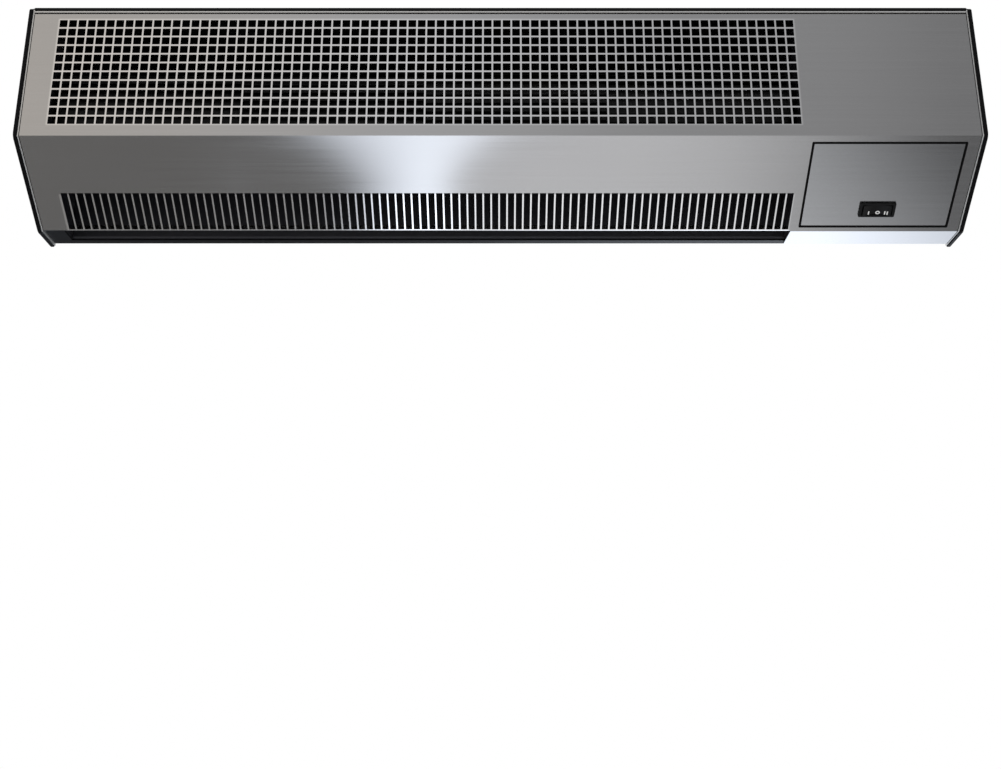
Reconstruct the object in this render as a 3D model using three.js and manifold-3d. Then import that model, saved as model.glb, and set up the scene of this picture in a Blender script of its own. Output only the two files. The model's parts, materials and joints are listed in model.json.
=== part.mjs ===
// Air curtain for a lift door: a black rear casing that hangs on a wall plate, a folded steel front cover with an
// intake grille and outlet slots, and inside it a cross-flow wheel driven by a motor in the right-hand bay.
// Millimetres. X runs along the unit, Y towards the wall, Z up. The origin is the centre of the wall plate's back.
import * as THREE from 'three';
import { mergeGeometries, mergeVertices } from 'three/addons/utils/BufferGeometryUtils.js';
import Module from 'manifold-3d';

// ---------------------------------------------------------------- driving dimensions
// Section of the end caps, which stand proud of everything else
const unitWidth = 800; // over the two end caps
const halfWidth = unitWidth / 2;
const unitDepth = 124; // wall to the fold line of the front
const upperRise = 123.5; // fold line up to the top
const upperLean = 16.9; // top front edge, behind the fold line
const lowerDrop = 54.3; // fold line down to the underside
const lowerRun = 83.4; // fold line back to the lower bend
const noseRadius = 6;
const heelRadius = 9;
const capCornerRadius = 3;

// Sheets, gaps and fasteners
const fit = 0.3; // clearance between pieces that touch
const sheet = 1.2; // casing, cover, rail and panel
const innerSheet = 1.0; // scroll, tongue and end plates
const bendRadius = 2; // outside of a sheet's bend
const capThickness = 3.2;
const capProud = 1.2; // end caps and casing lip, in front of the cover
const sideSeam = 0.7; // dark gap between end plate and cover
const screwRadius = 1.6;
const headRadius = 3.2;
const headHeight = 1.4;
const endScrewShares = [0.3, 0.8]; // up an end cap's back edge
const endScrewForward = 41; // in front of the wall
const roundSides = 16; // facets of a round piece
const holeSides = 8; // facets of a screw or its hole

// Rear casing, rail and wall plate
const hemHeight = 2.4; // black lip over the cover
const hemDepth = 16;
const casingFloorDepth = 10; // bottom flange, from the back
const apronGap = 3; // lower bend to the closed floor left of the fan chamber
const railDepth = 14;
const plateThickness = 2; // wall plate
const plateWidth = 520;
const plateHeight = 90;
const plateHoleRadius = 3;
const plateHoleInset = 14;
const hookSpacing = 360;
const hookWidth = 22;
const hookRise = 9;
const hookUp = 24; // underside of the hooks, above the origin
const hookSlotHeight = 12;

// Front cover
const coverSideFlange = 9;
const coverTopFlange = 13;
const coverEdgeRadius = 2.4; // top edge's bend, which leaves a groove under the rail
const foldRadius = 1.6;
const lipReturn = 7; // stiffening return behind the outlet slots
const bayUnderside = 33; // closed underside of the right-hand bay, front to back

// Intake grille: the real one has 12 rows of 78 holes, and every second row and column is left out here
const grilleRows = 6;
const grilleColumns = 39;
const grilleFromLeft = 25.6; // from the unit's left end
const grilleFromRight = 151.4; // from the unit's right end
const grilleFloor = 10.7; // first row's lower edge, up the face from the fold line
const grilleMargin = 13; // above its last row
const grilleBar = 3.2; // web between two holes

// Outlet slots in the lower face
const slotCount = 92;
const slotsFromLeft = 26.2;
const slotsFromRight = 150.5;
const slotBar = 1.3;
const slotLength = 38.4;
const slotMargin = 2.5; // to the lower bend

// Control panel in the lower face, and its rocker switch
const panelFromRight = 14.5;
const panelWidth = 127.2;
const panelStart = 8.7; // upper edge, down the face from the fold line
const panelMargin = 6.1; // lower edge to the lower bend
const panelSeam = 1.2;
const panelFlange = 5.4;
const studRadius = 1.25;
const nutRadius = 2.9;
const nutHeight = 2;
const switchAcross = 63; // its middle, from the panel's left edge
const switchUp = 18; // its middle, from the panel's lower edge
const bezelWidth = 31;
const bezelHeight = 14.7;
const bezelThickness = 1.6;
const switchBodyWidth = 27.8;
const switchBodyHeight = 12.4;
const switchBodyDepth = 19;
const switchWall = 0.9;
const rockerPivotDepth = 2.2; // pivot below the panel's surface
const rockerRise = 1.1; // middle of the rocker above the surface
const rockerEndRise = 2.7; // ends of the rocker above the surface
const rockerDish = 0.5; // rise half-way to its ends
const rockerEndGap = 0.5; // to the housing
const rockerShoulder = 0.8; // its ends' upper corners, in from the lower ones
const rockerSkirt = 0.9; // its ends' lower corners, above the pivot
const rockerKeelHalf = 4;
const rockerKeelDepth = 4.8; // below the pivot
const trunnionRadius = 1.2;
const terminalWidth = 5;
const terminalThickness = 0.8;
const terminalLength = 8;
const terminalSeat = 6.7; // inside the housing's floor
const terminalSpacing = 8.5;

// Fan chamber
const chamberFromLeft = 20.5; // outer face of the left plate
const chamberFromRight = 148; // outer face of the right plate
const chamberPlate = 1.5;
const chamberFlange = 12;
const wheelRadius = 42;
const wheelInnerRadius = 32.5;
const wheelCentreBack = 64; // behind the fold line
const wheelCentreUp = 46; // above the fold line
const wheelSideGap = 7; // wheel to chamber plate
const bladeCount = 18;
const bladeThickness = 1.3;
const bladeSweep = 0.24; // radians that a blade leans between its two edges
const bladeEdge = 0.7; // thickness of its edges, as a share of its middle
const bladeSlope = 0.3; // of its faces to the wheel's radius
const ringCount = 3; // middle rings
const ringThickness = 1.6;
const discThickness = 2;
const hubRadius = 9;
const hubLength = 12;
const shaftRadius = 4;
const shaftEnd = 2; // past a bearing, or short of its hub's end
const scrollGap = 5; // wheel to scroll where it starts
const scrollGapEnd = 10; // wheel to scroll where its curve ends
const scrollStartAngle = 52; // degrees above the wheel's centre line, at the back
const scrollEndAngle = -10;
const scrollSteps = 7;
const scrollFoot = 10; // along the casing's back
const scrollFootUp = 56; // its lower bend, above the origin
const scrollFloorFoot = 8;
const tongueGap = 4.5;
const tongueStartAngle = -146;
const tongueEndAngle = -114;
const tongueSteps = 4;
const tongueFoot = 10;
const tongueFromSlots = 1.6; // up the face from the slots

// Bearing at the free end and rubber drive at the motor end
const bearingRubberRadius = 18;
const bearingGrip = 2; // rubber on each side of its plate
const bearingGroove = 15;
const bushLength = 10;
const driveHubLength = 15;
const driveHubOverhang = 4; // past the wheel's end disc
const driveRubberRadius = 18;
const driveRubberGroove = 14;
const driveRubberGrip = 3;
const grubRadius = 1.5;
const grubFromEnd = 3;
const shaftHole = 12; // in the right chamber plate

// Motor in the right-hand bay
const motorFromRight = 80; // its middle
const motorRadius = 40;
const statorLength = 30;
const statorBore = 20.2;
const endShieldLength = 18;
const endShieldWall = 2;
const shieldCorner = 4;
const bossRadius = 12;
const bossLength = 9;
const windingInner = 23;
const windingOuter = 36;
const windingLength = 11;
const mountRingRadius = 19;
const mountRingLength = 6;
const bracketThickness = 2;
const bracketArmRadius = 26;
const bracketHalfHeight = 30;
const bracketWing = 15;
const bracketScrewInset = 6;
const bracketArcSteps = 8;

// Electrics in the right-hand bay
const bayCentreUp = -40; // capacitor and terminals, above the origin
const capacitor = { fromRight: 119, width: 38, depth: 20, height: 30, corner: 3, ear: 10, earThickness: 2 };
const terminals = { fromRight: 43, width: 44, depth: 16, height: 22, base: 6, barrier: 1.6, poles: 4 };
const grommet = { fromRight: 26, up: 62, radius: 9, groove: 6.5, bore: 4.5, grip: 2 };
const leadRadius = 2.2;
const leadSides = 8;
const leadSteps = 14;
const leadStraight = 11; // in front of a terminal
const leadSwing = 20; // bend in front of the terminals
const leadSideways = 12; // the bend's middle, left of its pole
const leadSag = 3; // the bend's middle, below its pole
const leadDrop = 9; // from the motor to its first bend
const leadFromMotor = 25; // its exit, right of the motor's middle

// ---------------------------------------------------------------- materials, as three.js parameters
const blackPaint = { color: 0x141414, roughness: 0.45, metalness: 0.1 };
const brushedSteel = { color: 0x9b9a96, roughness: 0.35, metalness: 1 };
const zincSteel = { color: 0xa8acaf, roughness: 0.4, metalness: 0.9 };
const shaftSteel = { color: 0xb9bcc0, roughness: 0.25, metalness: 1 };
const blackPlastic = { color: 0x101011, roughness: 0.35, metalness: 0 };
const rubber = { color: 0x1a1a1a, roughness: 0.8, metalness: 0 };
const aluminium = { color: 0xc3c5c6, roughness: 0.4, metalness: 0.9 };
const brass = { color: 0xb08d4a, roughness: 0.35, metalness: 1 };
const copper = { color: 0x9c4a2a, roughness: 0.45, metalness: 0.8 };
const palePlastic = { color: 0xd8d8d2, roughness: 0.5, metalness: 0 };
const lamination = { color: 0x6d7073, roughness: 0.5, metalness: 0.8 };

// ---------------------------------------------------------------- the section and its five straight edges
// A point of the section is (Y, Z). The edges run round it with the inside on their left.
const point = (y, z) => new THREE.Vector2(y, z);
const degrees = THREE.MathUtils.degToRad;
const fold = point(-unitDepth, (lowerDrop - upperRise) / 2);
const topFront = fold.clone().add(point(upperLean, upperRise));
const lowerBend = fold.clone().add(point(lowerRun, -lowerDrop));
const bottomBack = point(0, lowerBend.y);
const topBack = point(0, topFront.y);

function edge(from, to) {
  const along = to.clone().sub(from).normalize();
  return { from, along, inward: point(-along.y, along.x), length: from.distanceTo(to) };
}
const upper = edge(topFront, fold);
const lower = edge(fold, lowerBend);
const bottom = edge(lowerBend, bottomBack);
const back = edge(bottomBack, topBack);
const top = edge(topBack, topFront);

// Places along the unit, and lengths along its two faces
const chamberLeft = chamberFromLeft - halfWidth;
const chamberRight = halfWidth - chamberFromRight;
const motorCentreX = halfWidth - motorFromRight;
const panelRight = halfWidth - panelFromRight;
const panelLeft = panelRight - panelWidth;
const panelHeight = lower.length - panelStart - panelMargin;
const switchCentreX = panelLeft + switchAcross;
const switchCentreDown = panelStart + panelHeight - switchUp;
const slotStart = lower.length - slotMargin - slotLength; // down the face from the fold line
const grilleHeight = upper.length - grilleFloor - grilleMargin;

// The point at a distance along an edge, moved in by a depth
function at(side, distance, depth = 0) {
  return side.from.clone().addScaledVector(side.along, distance).addScaledVector(side.inward, depth);
}

// Where two edges meet once each is moved in by its depth
function corner(first, firstDepth, second, secondDepth) {
  const start = at(first, 0, firstDepth);
  const toSecond = at(second, 0, secondDepth).sub(start);
  const distance = toSecond.dot(second.inward) / first.along.dot(second.inward);
  return start.addScaledVector(first.along, distance);
}

// Depths of the layers under the section's outline
const coverDepth = capProud;
const insideCover = coverDepth + sheet + fit; // where an inner piece may begin
const railTop = hemHeight + fit;
const coverTop = railTop + sheet + fit;
const casingBack = plateThickness + fit;
const insideCasing = casingBack + sheet + fit;
const casingBottom = insideCover;

// ---------------------------------------------------------------- shapes
// A polyline with its inner corners rounded; radii[i] belongs to points[i]
function roundedOutline(points, radii, closed, steps = 3) {
  const result = [];
  points.forEach((here, i) => {
    const before = points[(i + points.length - 1) % points.length];
    const after = points[(i + 1) % points.length];
    if (!radii[i] || (!closed && (i === 0 || i === points.length - 1))) {
      result.push(here.clone());
      return;
    }
    const incoming = here.clone().sub(before).normalize();
    const outgoing = after.clone().sub(here).normalize();
    const turn = Math.atan2(incoming.cross(outgoing), incoming.dot(outgoing));
    const side = Math.sign(turn);
    const reach = radii[i] * Math.tan(Math.abs(turn) / 2);
    const tangent = here.clone().addScaledVector(incoming, -reach);
    const towardsCentre = point(-incoming.y, incoming.x).multiplyScalar(side);
    const centre = tangent.clone().addScaledVector(towardsCentre, radii[i]);
    for (let k = 0; k <= steps; k++) {
      result.push(tangent.clone().rotateAround(centre, (turn * k) / steps));
    }
  });
  return result;
}

// A bent sheet: its outer face runs along the path and its thickness lies to the left of it
function bentSheet(path, thickness, radii) {
  const inner = path.map((here, i) => {
    const incoming = (i ? here.clone().sub(path[i - 1]) : path[1].clone().sub(here)).normalize();
    const outgoing = (i < path.length - 1 ? path[i + 1].clone().sub(here) : incoming.clone()).normalize();
    const normalIn = point(-incoming.y, incoming.x);
    const normalOut = point(-outgoing.y, outgoing.x);
    const mitre = normalIn.clone().add(normalOut).divideScalar(1 + normalIn.dot(normalOut));
    const turn = Math.sign(incoming.cross(outgoing));
    const radius = Math.max(0, radii[i] - turn * thickness);
    return { place: here.clone().addScaledVector(mitre, thickness), radius };
  });
  const outside = roundedOutline(path, radii, false);
  const inside = roundedOutline(inner.map((c) => c.place), inner.map((c) => c.radius), false);
  return [...outside, ...inside.reverse()];
}

const bends = (path, radius = bendRadius) => path.map(() => radius);

function rectangle(x0, y0, x1, y1) {
  return [point(x0, y0), point(x1, y0), point(x1, y1), point(x0, y1)];
}

function circle(x, y, radius, sides = roundSides) {
  return Array.from({ length: sides }, (_, i) => {
    const angle = (i * 2 * Math.PI) / sides;
    return point(x + radius * Math.cos(angle), y + radius * Math.sin(angle));
  });
}

// An outline drawn out to a length; x, y and z name the directions of its two axes and of its length
function drawnOut(outline, length, holes = []) {
  const shape = new THREE.Shape(outline);
  shape.holes = holes.map((hole) => new THREE.Path(hole));
  return new THREE.ExtrudeGeometry(shape, { depth: length, bevelEnabled: false });
}

const axisX = new THREE.Vector3(1, 0, 0);
const axisY = new THREE.Vector3(0, 1, 0);
const axisZ = new THREE.Vector3(0, 0, 1);
const sectionToWorld = new THREE.Matrix4().makeBasis(axisY, axisZ, axisX);
const frontToWorld = new THREE.Matrix4().makeBasis(axisX, axisZ, axisY.clone().negate());

// A (Y, Z) outline drawn out along X from x0 to x1
function alongX(outline, x0, x1, holes) {
  return drawnOut(outline, x1 - x0, holes).applyMatrix4(sectionToWorld).translate(x0, 0, 0);
}

// An (X, Z) outline of a flat plate whose back lies at yBack
function facingFront(outline, yBack, thickness, holes) {
  return drawnOut(outline, thickness, holes).applyMatrix4(frontToWorld).translate(0, yBack, 0);
}

// A closed (radius, X) profile turned about the X axis
function turned(profile, sides = roundSides) {
  const points = profile.map(([radius, x]) => point(radius, x));
  if (THREE.ShapeUtils.isClockWise(points)) points.reverse();
  return new THREE.LatheGeometry([...points, points[0]], sides).rotateZ(-Math.PI / 2);
}

function ring(inner, outer, x0, x1, sides) {
  return turned([[inner, x0], [outer, x0], [outer, x1], [inner, x1]], sides);
}

function rod(radius, x0, x1, sides) {
  return turned([[0, x0], [radius, x0], [radius, x1], [0, x1]], sides);
}

function box(x0, y0, z0, x1, y1, z1) {
  const geometry = new THREE.BoxGeometry(x1 - x0, y1 - y0, z1 - z0);
  return geometry.translate((x0 + x1) / 2, (y0 + y1) / 2, (z0 + z1) / 2);
}

// ---------------------------------------------------------------- joining and cutting solids
const wasm = await Module();
wasm.setup();

function toSolid(geometry) {
  const bare = geometry.clone();
  bare.deleteAttribute('normal');
  bare.deleteAttribute('uv');
  const merged = mergeVertices(bare, 1e-5);
  const corners = merged.index.array;
  const triangles = [];
  for (let i = 0; i < corners.length; i += 3) {
    const [a, b, c] = corners.slice(i, i + 3);
    if (a !== b && b !== c && c !== a) triangles.push(a, b, c);
  }
  const vertProperties = new Float32Array(merged.attributes.position.array);
  return new wasm.Manifold(new wasm.Mesh({ numProp: 3, vertProperties, triVerts: new Uint32Array(triangles) }));
}

function toGeometry(solid) {
  const mesh = solid.getMesh();
  const geometry = new THREE.BufferGeometry();
  geometry.setAttribute('position', new THREE.BufferAttribute(new Float32Array(mesh.vertProperties), 3));
  geometry.setIndex(new THREE.BufferAttribute(new Uint32Array(mesh.triVerts), 1));
  geometry.computeVertexNormals();
  return geometry;
}

const joined = (...geometries) => toGeometry(geometries.map(toSolid).reduce((all, next) => all.add(next)));

function cutBy(geometry, ...tools) {
  return toGeometry(tools.map(toSolid).reduce((rest, tool) => rest.subtract(tool), toSolid(geometry)));
}

// Separate tools, none touching another, as one
function together(geometries) {
  return mergeGeometries(geometries.map((g) => {
    const plain = g.index ? g.toNonIndexed() : g.clone();
    plain.deleteAttribute('normal');
    plain.deleteAttribute('uv');
    return plain;
  }));
}

// ---------------------------------------------------------------- the unit and its nested frames
const unit = new THREE.Group();

// A face's frame: X as the unit's, Y up the face from the fold line, Z out of the face
function faceFrame(side) {
  const frame = new THREE.Group();
  frame.position.set(0, fold.x, fold.y);
  frame.rotation.x = Math.atan2(-side.along.y, -side.along.x);
  frame.updateMatrix();
  unit.add(frame);
  return frame;
}
const upperFace = faceFrame(upper);
const lowerFace = faceFrame(lower);

// The wheel's and the motor's common axis
const wheelAxis = point(fold.x + wheelCentreBack, fold.y + wheelCentreUp);
const driveLine = new THREE.Group();
driveLine.position.set(0, wheelAxis.x, wheelAxis.y);
driveLine.updateMatrix();
unit.add(driveLine);

// The rocker switch's frame lies on the control panel's surface
const switchFrame = new THREE.Group();
switchFrame.position.set(switchCentreX, -switchCentreDown, -coverDepth);
lowerFace.add(switchFrame);

function piece(name, geometry, material, parent = unit) {
  const mesh = new THREE.Mesh(geometry, new THREE.MeshStandardMaterial(material));
  mesh.name = name;
  parent.add(mesh);
  return mesh;
}

// A copy of a geometry on the other side of the unit's middle
function mirrored(geometry) {
  const copy = together([geometry]).scale(-1, 1, 1);
  const position = copy.attributes.position;
  for (let i = 0; i < position.count; i += 3) {
    const second = new THREE.Vector3().fromBufferAttribute(position, i + 1);
    const third = new THREE.Vector3().fromBufferAttribute(position, i + 2);
    position.setXYZ(i + 1, third.x, third.y, third.z);
    position.setXYZ(i + 2, second.x, second.y, second.z);
  }
  return copy;
}

// A pan-head screw on the X axis: its head's top at 0, its shank towards -X
function screw(length) {
  return turned([
    [0, 0], [headRadius, 0], [headRadius, -headHeight], [screwRadius, -headHeight], [screwRadius, -length],
    [0, -length],
  ], holeSides);
}

// A rubber grommet on the X axis that grips a plate between x0 and x1 in its groove
function gripping(bore, groove, outer, x0, x1, grip) {
  return turned([
    [bore, x0 - grip], [outer, x0 - grip], [outer, x0 - fit], [groove, x0 - fit],
    [groove, x1 + fit], [outer, x1 + fit], [outer, x1 + grip], [bore, x1 + grip],
  ]);
}

// ---------------------------------------------------------------- end caps and end plates
const capInner = halfWidth - capThickness;
const endPlateInner = capInner - fit - innerSheet;
const casingHalf = endPlateInner - fit;
const coverHalf = endPlateInner - sideSeam;

// Each end carries two screws, at these (Y, Z) places
const endScrews = endScrewShares.map((share) => point(-endScrewForward, bottomBack.y + share * back.length));
const endScrewHoles = endScrews.map((p) => circle(p.x, p.y, screwRadius + fit, holeSides));
const endScrewLength = capThickness + innerSheet + 3;

function endCap() {
  const outline = roundedOutline(
    [topFront, fold, lowerBend, bottomBack, topBack],
    [capCornerRadius, noseRadius, heelRadius, capCornerRadius, capCornerRadius],
    true,
  );
  const recesses = endScrews.map((p) => {
    const recess = circle(p.x, p.y, headRadius + fit, holeSides);
    return alongX(recess, halfWidth - headHeight - fit, halfWidth + fit);
  });
  return cutBy(alongX(outline, capInner, halfWidth, endScrewHoles), ...recesses);
}

function endPlate() {
  const outline = [
    corner(top, capProud, upper, coverDepth),
    corner(upper, coverDepth, lower, coverDepth),
    corner(lower, coverDepth, bottom, coverDepth),
    corner(bottom, coverDepth, back, casingBack),
    corner(back, casingBack, top, capProud),
  ];
  const plate = alongX(outline, endPlateInner, endPlateInner + innerSheet, endScrewHoles);
  const clear = coverSideFlange + coverTop;
  const foot = box(
    endPlateInner - chamberFlange, -insideCasing - innerSheet, bottomBack.y + clear,
    endPlateInner + innerSheet / 2, -insideCasing, topBack.y - clear,
  );
  return joined(plate, foot);
}

piece('end_cap_right', endCap(), blackPaint);
piece('end_cap_left', mirrored(endCap()), blackPaint);
piece('end_plate_right', endPlate(), brushedSteel);
piece('end_plate_left', mirrored(endPlate()), brushedSteel);
for (const [side, sign] of [['right', 1], ['left', -1]]) {
  endScrews.forEach((place, i) => {
    const mesh = piece(`end_cap_screw_${side}_${i + 1}`, screw(endScrewLength), zincSteel);
    mesh.position.set(sign * halfWidth, place.x, place.y);
    mesh.rotation.z = sign < 0 ? Math.PI : 0;
  });
}

// ---------------------------------------------------------------- rear casing, rail and wall plate
const coverTopCorner = corner(top, coverTop, upper, coverDepth);
const coverScrews = [-1, 0, 1].map((n) => ({ x: n * unitWidth / 3, y: coverTopCorner.x + coverTopFlange / 2 }));
const bracketReach = statorLength / 2 + fit + endShieldLength + bossLength - mountRingLength / 2;
const bracketHalf = bracketReach + bracketThickness / 2 + bracketWing;
const bracketScrews = [[-1, -1], [1, -1], [1, 1], [-1, 1]].map(([across, up]) => ({
  x: motorCentreX + across * (bracketHalf - bracketScrewInset),
  z: wheelAxis.y + up * (bracketHalfHeight - bracketScrewInset),
}));
const capacitorX = halfWidth - capacitor.fromRight;
const capacitorScrew = { x: capacitorX + (capacitor.width + capacitor.ear) / 2, z: bayCentreUp };
const grommetX = halfWidth - grommet.fromRight;

function upright(x, y, radius, z0, z1, sides = holeSides) {
  return drawnOut(circle(x, y, radius, sides), z1 - z0).translate(0, 0, z0);
}

function fromFront(x, z, radius, y0, y1, sides = holeSides) {
  return facingFront(circle(x, z, radius, sides), y1, y1 - y0);
}

function rearCasing() {
  const path = [
    point(-casingBack - casingFloorDepth, bottomBack.y + casingBottom),
    point(-casingBack, bottomBack.y + casingBottom),
    point(-casingBack, topBack.y),
    topFront,
  ];
  const shell = alongX(bentSheet(path, sheet, bends(path)), -casingHalf, casingHalf);
  const hem = rectangle(topFront.x, topFront.y - hemHeight, topFront.x + hemDepth, topFront.y);
  const floor = bottomBack.y + casingBottom;
  const apron = rectangle(lowerBend.x + apronGap, floor, path[0].x, floor + sheet);
  const slots = [-1, 1].map((n) => {
    const middle = (n * hookSpacing) / 2;
    const reach = hookWidth / 2 + fit;
    const slotTop = hookUp + plateThickness + fit;
    return box(
      middle - reach, -insideCasing - fit, slotTop - hookSlotHeight, middle + reach, 0, slotTop,
    );
  });
  const holes = [
    ...coverScrews.map((s) => upright(s.x, s.y, screwRadius + fit, topBack.y - 2 * hemHeight, topBack.y + fit)),
    ...[...bracketScrews, capacitorScrew].map((s) => fromFront(s.x, s.z, screwRadius + fit, -insideCasing, 0)),
    fromFront(grommetX, grommet.up, grommet.groove + fit, -insideCasing, 0, roundSides),
  ];
  const lip = alongX(hem, -casingHalf, casingHalf);
  const leftFloor = alongX(apron, -casingHalf, chamberLeft + chamberPlate);
  return cutBy(joined(shell, lip, leftFloor), together([...slots, ...holes]));
}

function topRail() {
  const lowest = railTop + sheet;
  const front = corner(top, lowest, upper, coverDepth).x;
  const strip = alongX(
    rectangle(front, topFront.y - lowest, front + railDepth, topFront.y - railTop), -casingHalf, casingHalf,
  );
  const holes = coverScrews.map((s) => (
    upright(s.x, s.y, screwRadius + fit, topFront.y - 2 * lowest, topFront.y)
  ));
  return cutBy(strip, together(holes));
}

function wallPlate() {
  const holes = [[-1, -1], [1, -1], [1, 1], [-1, 1]].map(([across, up]) => circle(
    across * (plateWidth / 2 - plateHoleInset), up * (plateHeight / 2 - plateHoleInset), plateHoleRadius,
    holeSides * 2,
  ));
  const outline = rectangle(-plateWidth / 2, -plateHeight / 2, plateWidth / 2, plateHeight / 2);
  const plate = facingFront(outline, 0, plateThickness, holes);
  const tip = -insideCasing - plateThickness;
  const hook = [
    point(-plateThickness / 2, hookUp), point(-plateThickness / 2, hookUp + plateThickness),
    point(-insideCasing, hookUp + plateThickness), point(-insideCasing, hookUp + plateThickness + hookRise),
    point(tip, hookUp + plateThickness + hookRise), point(tip, hookUp),
  ];
  const hooks = [-1, 1].map((n) => {
    const middle = (n * hookSpacing) / 2;
    return alongX(hook, middle - hookWidth / 2, middle + hookWidth / 2);
  });
  return joined(plate, together(hooks));
}

piece('rear_casing', rearCasing(), blackPaint);
piece('top_rail', topRail(), brushedSteel);
piece('wall_plate', wallPlate(), zincSteel);
coverScrews.forEach((place, i) => {
  const mesh = piece(`cover_screw_${i + 1}`, screw(headHeight + coverTop + sheet + 2), zincSteel);
  mesh.position.set(place.x, place.y, topBack.y + fit + headHeight);
  mesh.rotation.y = -Math.PI / 2;
});

// ---------------------------------------------------------------- front cover
const studs = [panelLeft - panelFlange / 2, panelRight + panelFlange / 2].flatMap((x) => [
  { x, y: -(panelStart - panelFlange / 2) },
  { x, y: -(panelStart + panelHeight + panelFlange / 2) },
]);
const coverInner = coverDepth + sheet;

// The outer faces of the fan part, which ends in a return, and of the bay, which has an underside
const coverLine = [
  coverTopCorner.clone().add(point(coverTopFlange, 0)),
  coverTopCorner,
  corner(upper, coverDepth, lower, coverDepth),
  corner(lower, coverDepth, bottom, coverDepth),
];
const coverRadii = [0, coverEdgeRadius, foldRadius, foldRadius, 0];
const fanLine = [...coverLine, coverLine[3].clone().addScaledVector(lower.inward, lipReturn)];
const bayLine = [...coverLine, coverLine[3].clone().add(point(bayUnderside, 0))];
const bayFlangeLine = [...coverLine, coverLine[3].clone().add(point(bayUnderside - casingFloorDepth, 0))];

// A cutter through the sheet of a face, in that face's frame
function throughSheet(x, y, width, height) {
  return box(x, y, -coverInner - fit, x + width, y + height, -coverDepth + fit);
}

function grilleHoles() {
  const across = (unitWidth - grilleFromLeft - grilleFromRight + grilleBar) / grilleColumns;
  const up = (grilleHeight + grilleBar) / grilleRows;
  const holes = [];
  for (let row = 0; row < grilleRows; row++) {
    for (let column = 0; column < grilleColumns; column++) {
      const x = grilleFromLeft - halfWidth + column * across;
      holes.push(throughSheet(x, grilleFloor + row * up, across - grilleBar, up - grilleBar));
    }
  }
  return together(holes).applyMatrix4(upperFace.matrix);
}

function outletSlots() {
  const pitch = (unitWidth - slotsFromLeft - slotsFromRight + slotBar) / slotCount;
  const slots = Array.from({ length: slotCount }, (_, i) => (
    throughSheet(slotsFromLeft - halfWidth + i * pitch, -slotStart - slotLength, pitch - slotBar, slotLength)
  ));
  return together(slots).applyMatrix4(lowerFace.matrix);
}

function frontCover() {
  const bayStart = chamberRight - chamberPlate;
  // A side flange starts half a sheet in, so that it shares no face with the skin
  const sideFlange = (line, x) => {
    const middle = bentSheet(line, sheet / 2, bends(line, 0)).slice(line.length).reverse();
    return alongX(bentSheet(middle, coverSideFlange - sheet / 2, bends(middle, 0)), x, x + sheet);
  };
  const skin = joined(
    alongX(bentSheet(fanLine, sheet, coverRadii), -coverHalf, bayStart),
    alongX(bentSheet(bayLine, sheet, coverRadii), bayStart, coverHalf),
    sideFlange(coverLine, -coverHalf),
    sideFlange(bayFlangeLine, coverHalf - sheet),
  );
  const panelHole = throughSheet(panelLeft, -panelStart - panelHeight, panelWidth, panelHeight);
  const studEnd = coverInner + 2 * fit + sheet + nutHeight + 1;
  const studPins = studs.map((s) => upright(s.x, s.y, studRadius, -studEnd, -coverInner + sheet / 2));
  const screwHoles = coverScrews.map((s) => (
    upright(s.x, s.y, screwRadius + fit, topFront.y - 2 * coverTop, topFront.y)
  ));
  const open = cutBy(
    skin, grilleHoles(), outletSlots(), panelHole.applyMatrix4(lowerFace.matrix), together(screwHoles),
  );
  return joined(open, together(studPins).applyMatrix4(lowerFace.matrix));
}
piece('front_cover', frontCover(), brushedSteel);

// ---------------------------------------------------------------- control panel and rocker switch
function panelLayer(grow, backDepth, frontDepth) {
  const outline = rectangle(
    panelLeft - grow, -panelStart - panelHeight - grow, panelRight + grow, -panelStart + grow,
  );
  return drawnOut(outline, backDepth - frontDepth).translate(0, 0, -backDepth);
}

function controlPanel() {
  const panelBack = insideCover + sheet;
  const face = panelLayer(-panelSeam, panelBack, coverDepth);
  const body = joined(face, panelLayer(panelFlange, panelBack, insideCover));
  const recess = panelLayer(-panelSeam - sheet, panelBack + fit, coverDepth + sheet);
  const holes = studs.map((s) => upright(s.x, s.y, studRadius + fit, -panelBack - fit, -coverDepth + fit));
  const halfOpening = point(switchBodyWidth / 2 + fit, switchBodyHeight / 2 + fit);
  const opening = box(
    switchCentreX - halfOpening.x, -switchCentreDown - halfOpening.y, -panelBack - fit,
    switchCentreX + halfOpening.x, -switchCentreDown + halfOpening.y, -coverDepth + fit,
  );
  return cutBy(body, recess, together(holes), opening);
}

function centredBox(width, height, z0, z1) {
  return box(-width / 2, -height / 2, z0, width / 2, height / 2, z1);
}

function alongFace(radius, length, z) {
  return new THREE.CylinderGeometry(radius, radius, length, holeSides).translate(0, 0, z);
}

const terminalTop = switchBodyDepth - terminalSeat;

function switchHousing() {
  const corners = rectangle(-bezelWidth / 2, -bezelHeight / 2, bezelWidth / 2, bezelHeight / 2);
  const bezel = drawnOut(roundedOutline(corners, bends(corners, 1), true), bezelThickness).translate(0, 0, fit);
  const body = centredBox(switchBodyWidth, switchBodyHeight, -switchBodyDepth, fit + bezelThickness / 2);
  const cavityWidth = switchBodyWidth - 2 * switchWall;
  const cavityHeight = switchBodyHeight - 2 * switchWall;
  const cavity = centredBox(cavityWidth, cavityHeight, -switchBodyDepth / 2, fit + 2 * bezelThickness);
  const bore = alongFace(trunnionRadius + fit, switchBodyHeight + fit, -rockerPivotDepth);
  const blades = [-1, 0, 1].map((n) => centredBox(
    terminalWidth + 2 * fit, terminalThickness + 2 * fit, -switchBodyDepth - fit, -terminalTop + fit,
  ).translate(n * terminalSpacing, 0, 0));
  return cutBy(joined(bezel, body), cavity, bore, together(blades));
}

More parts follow.
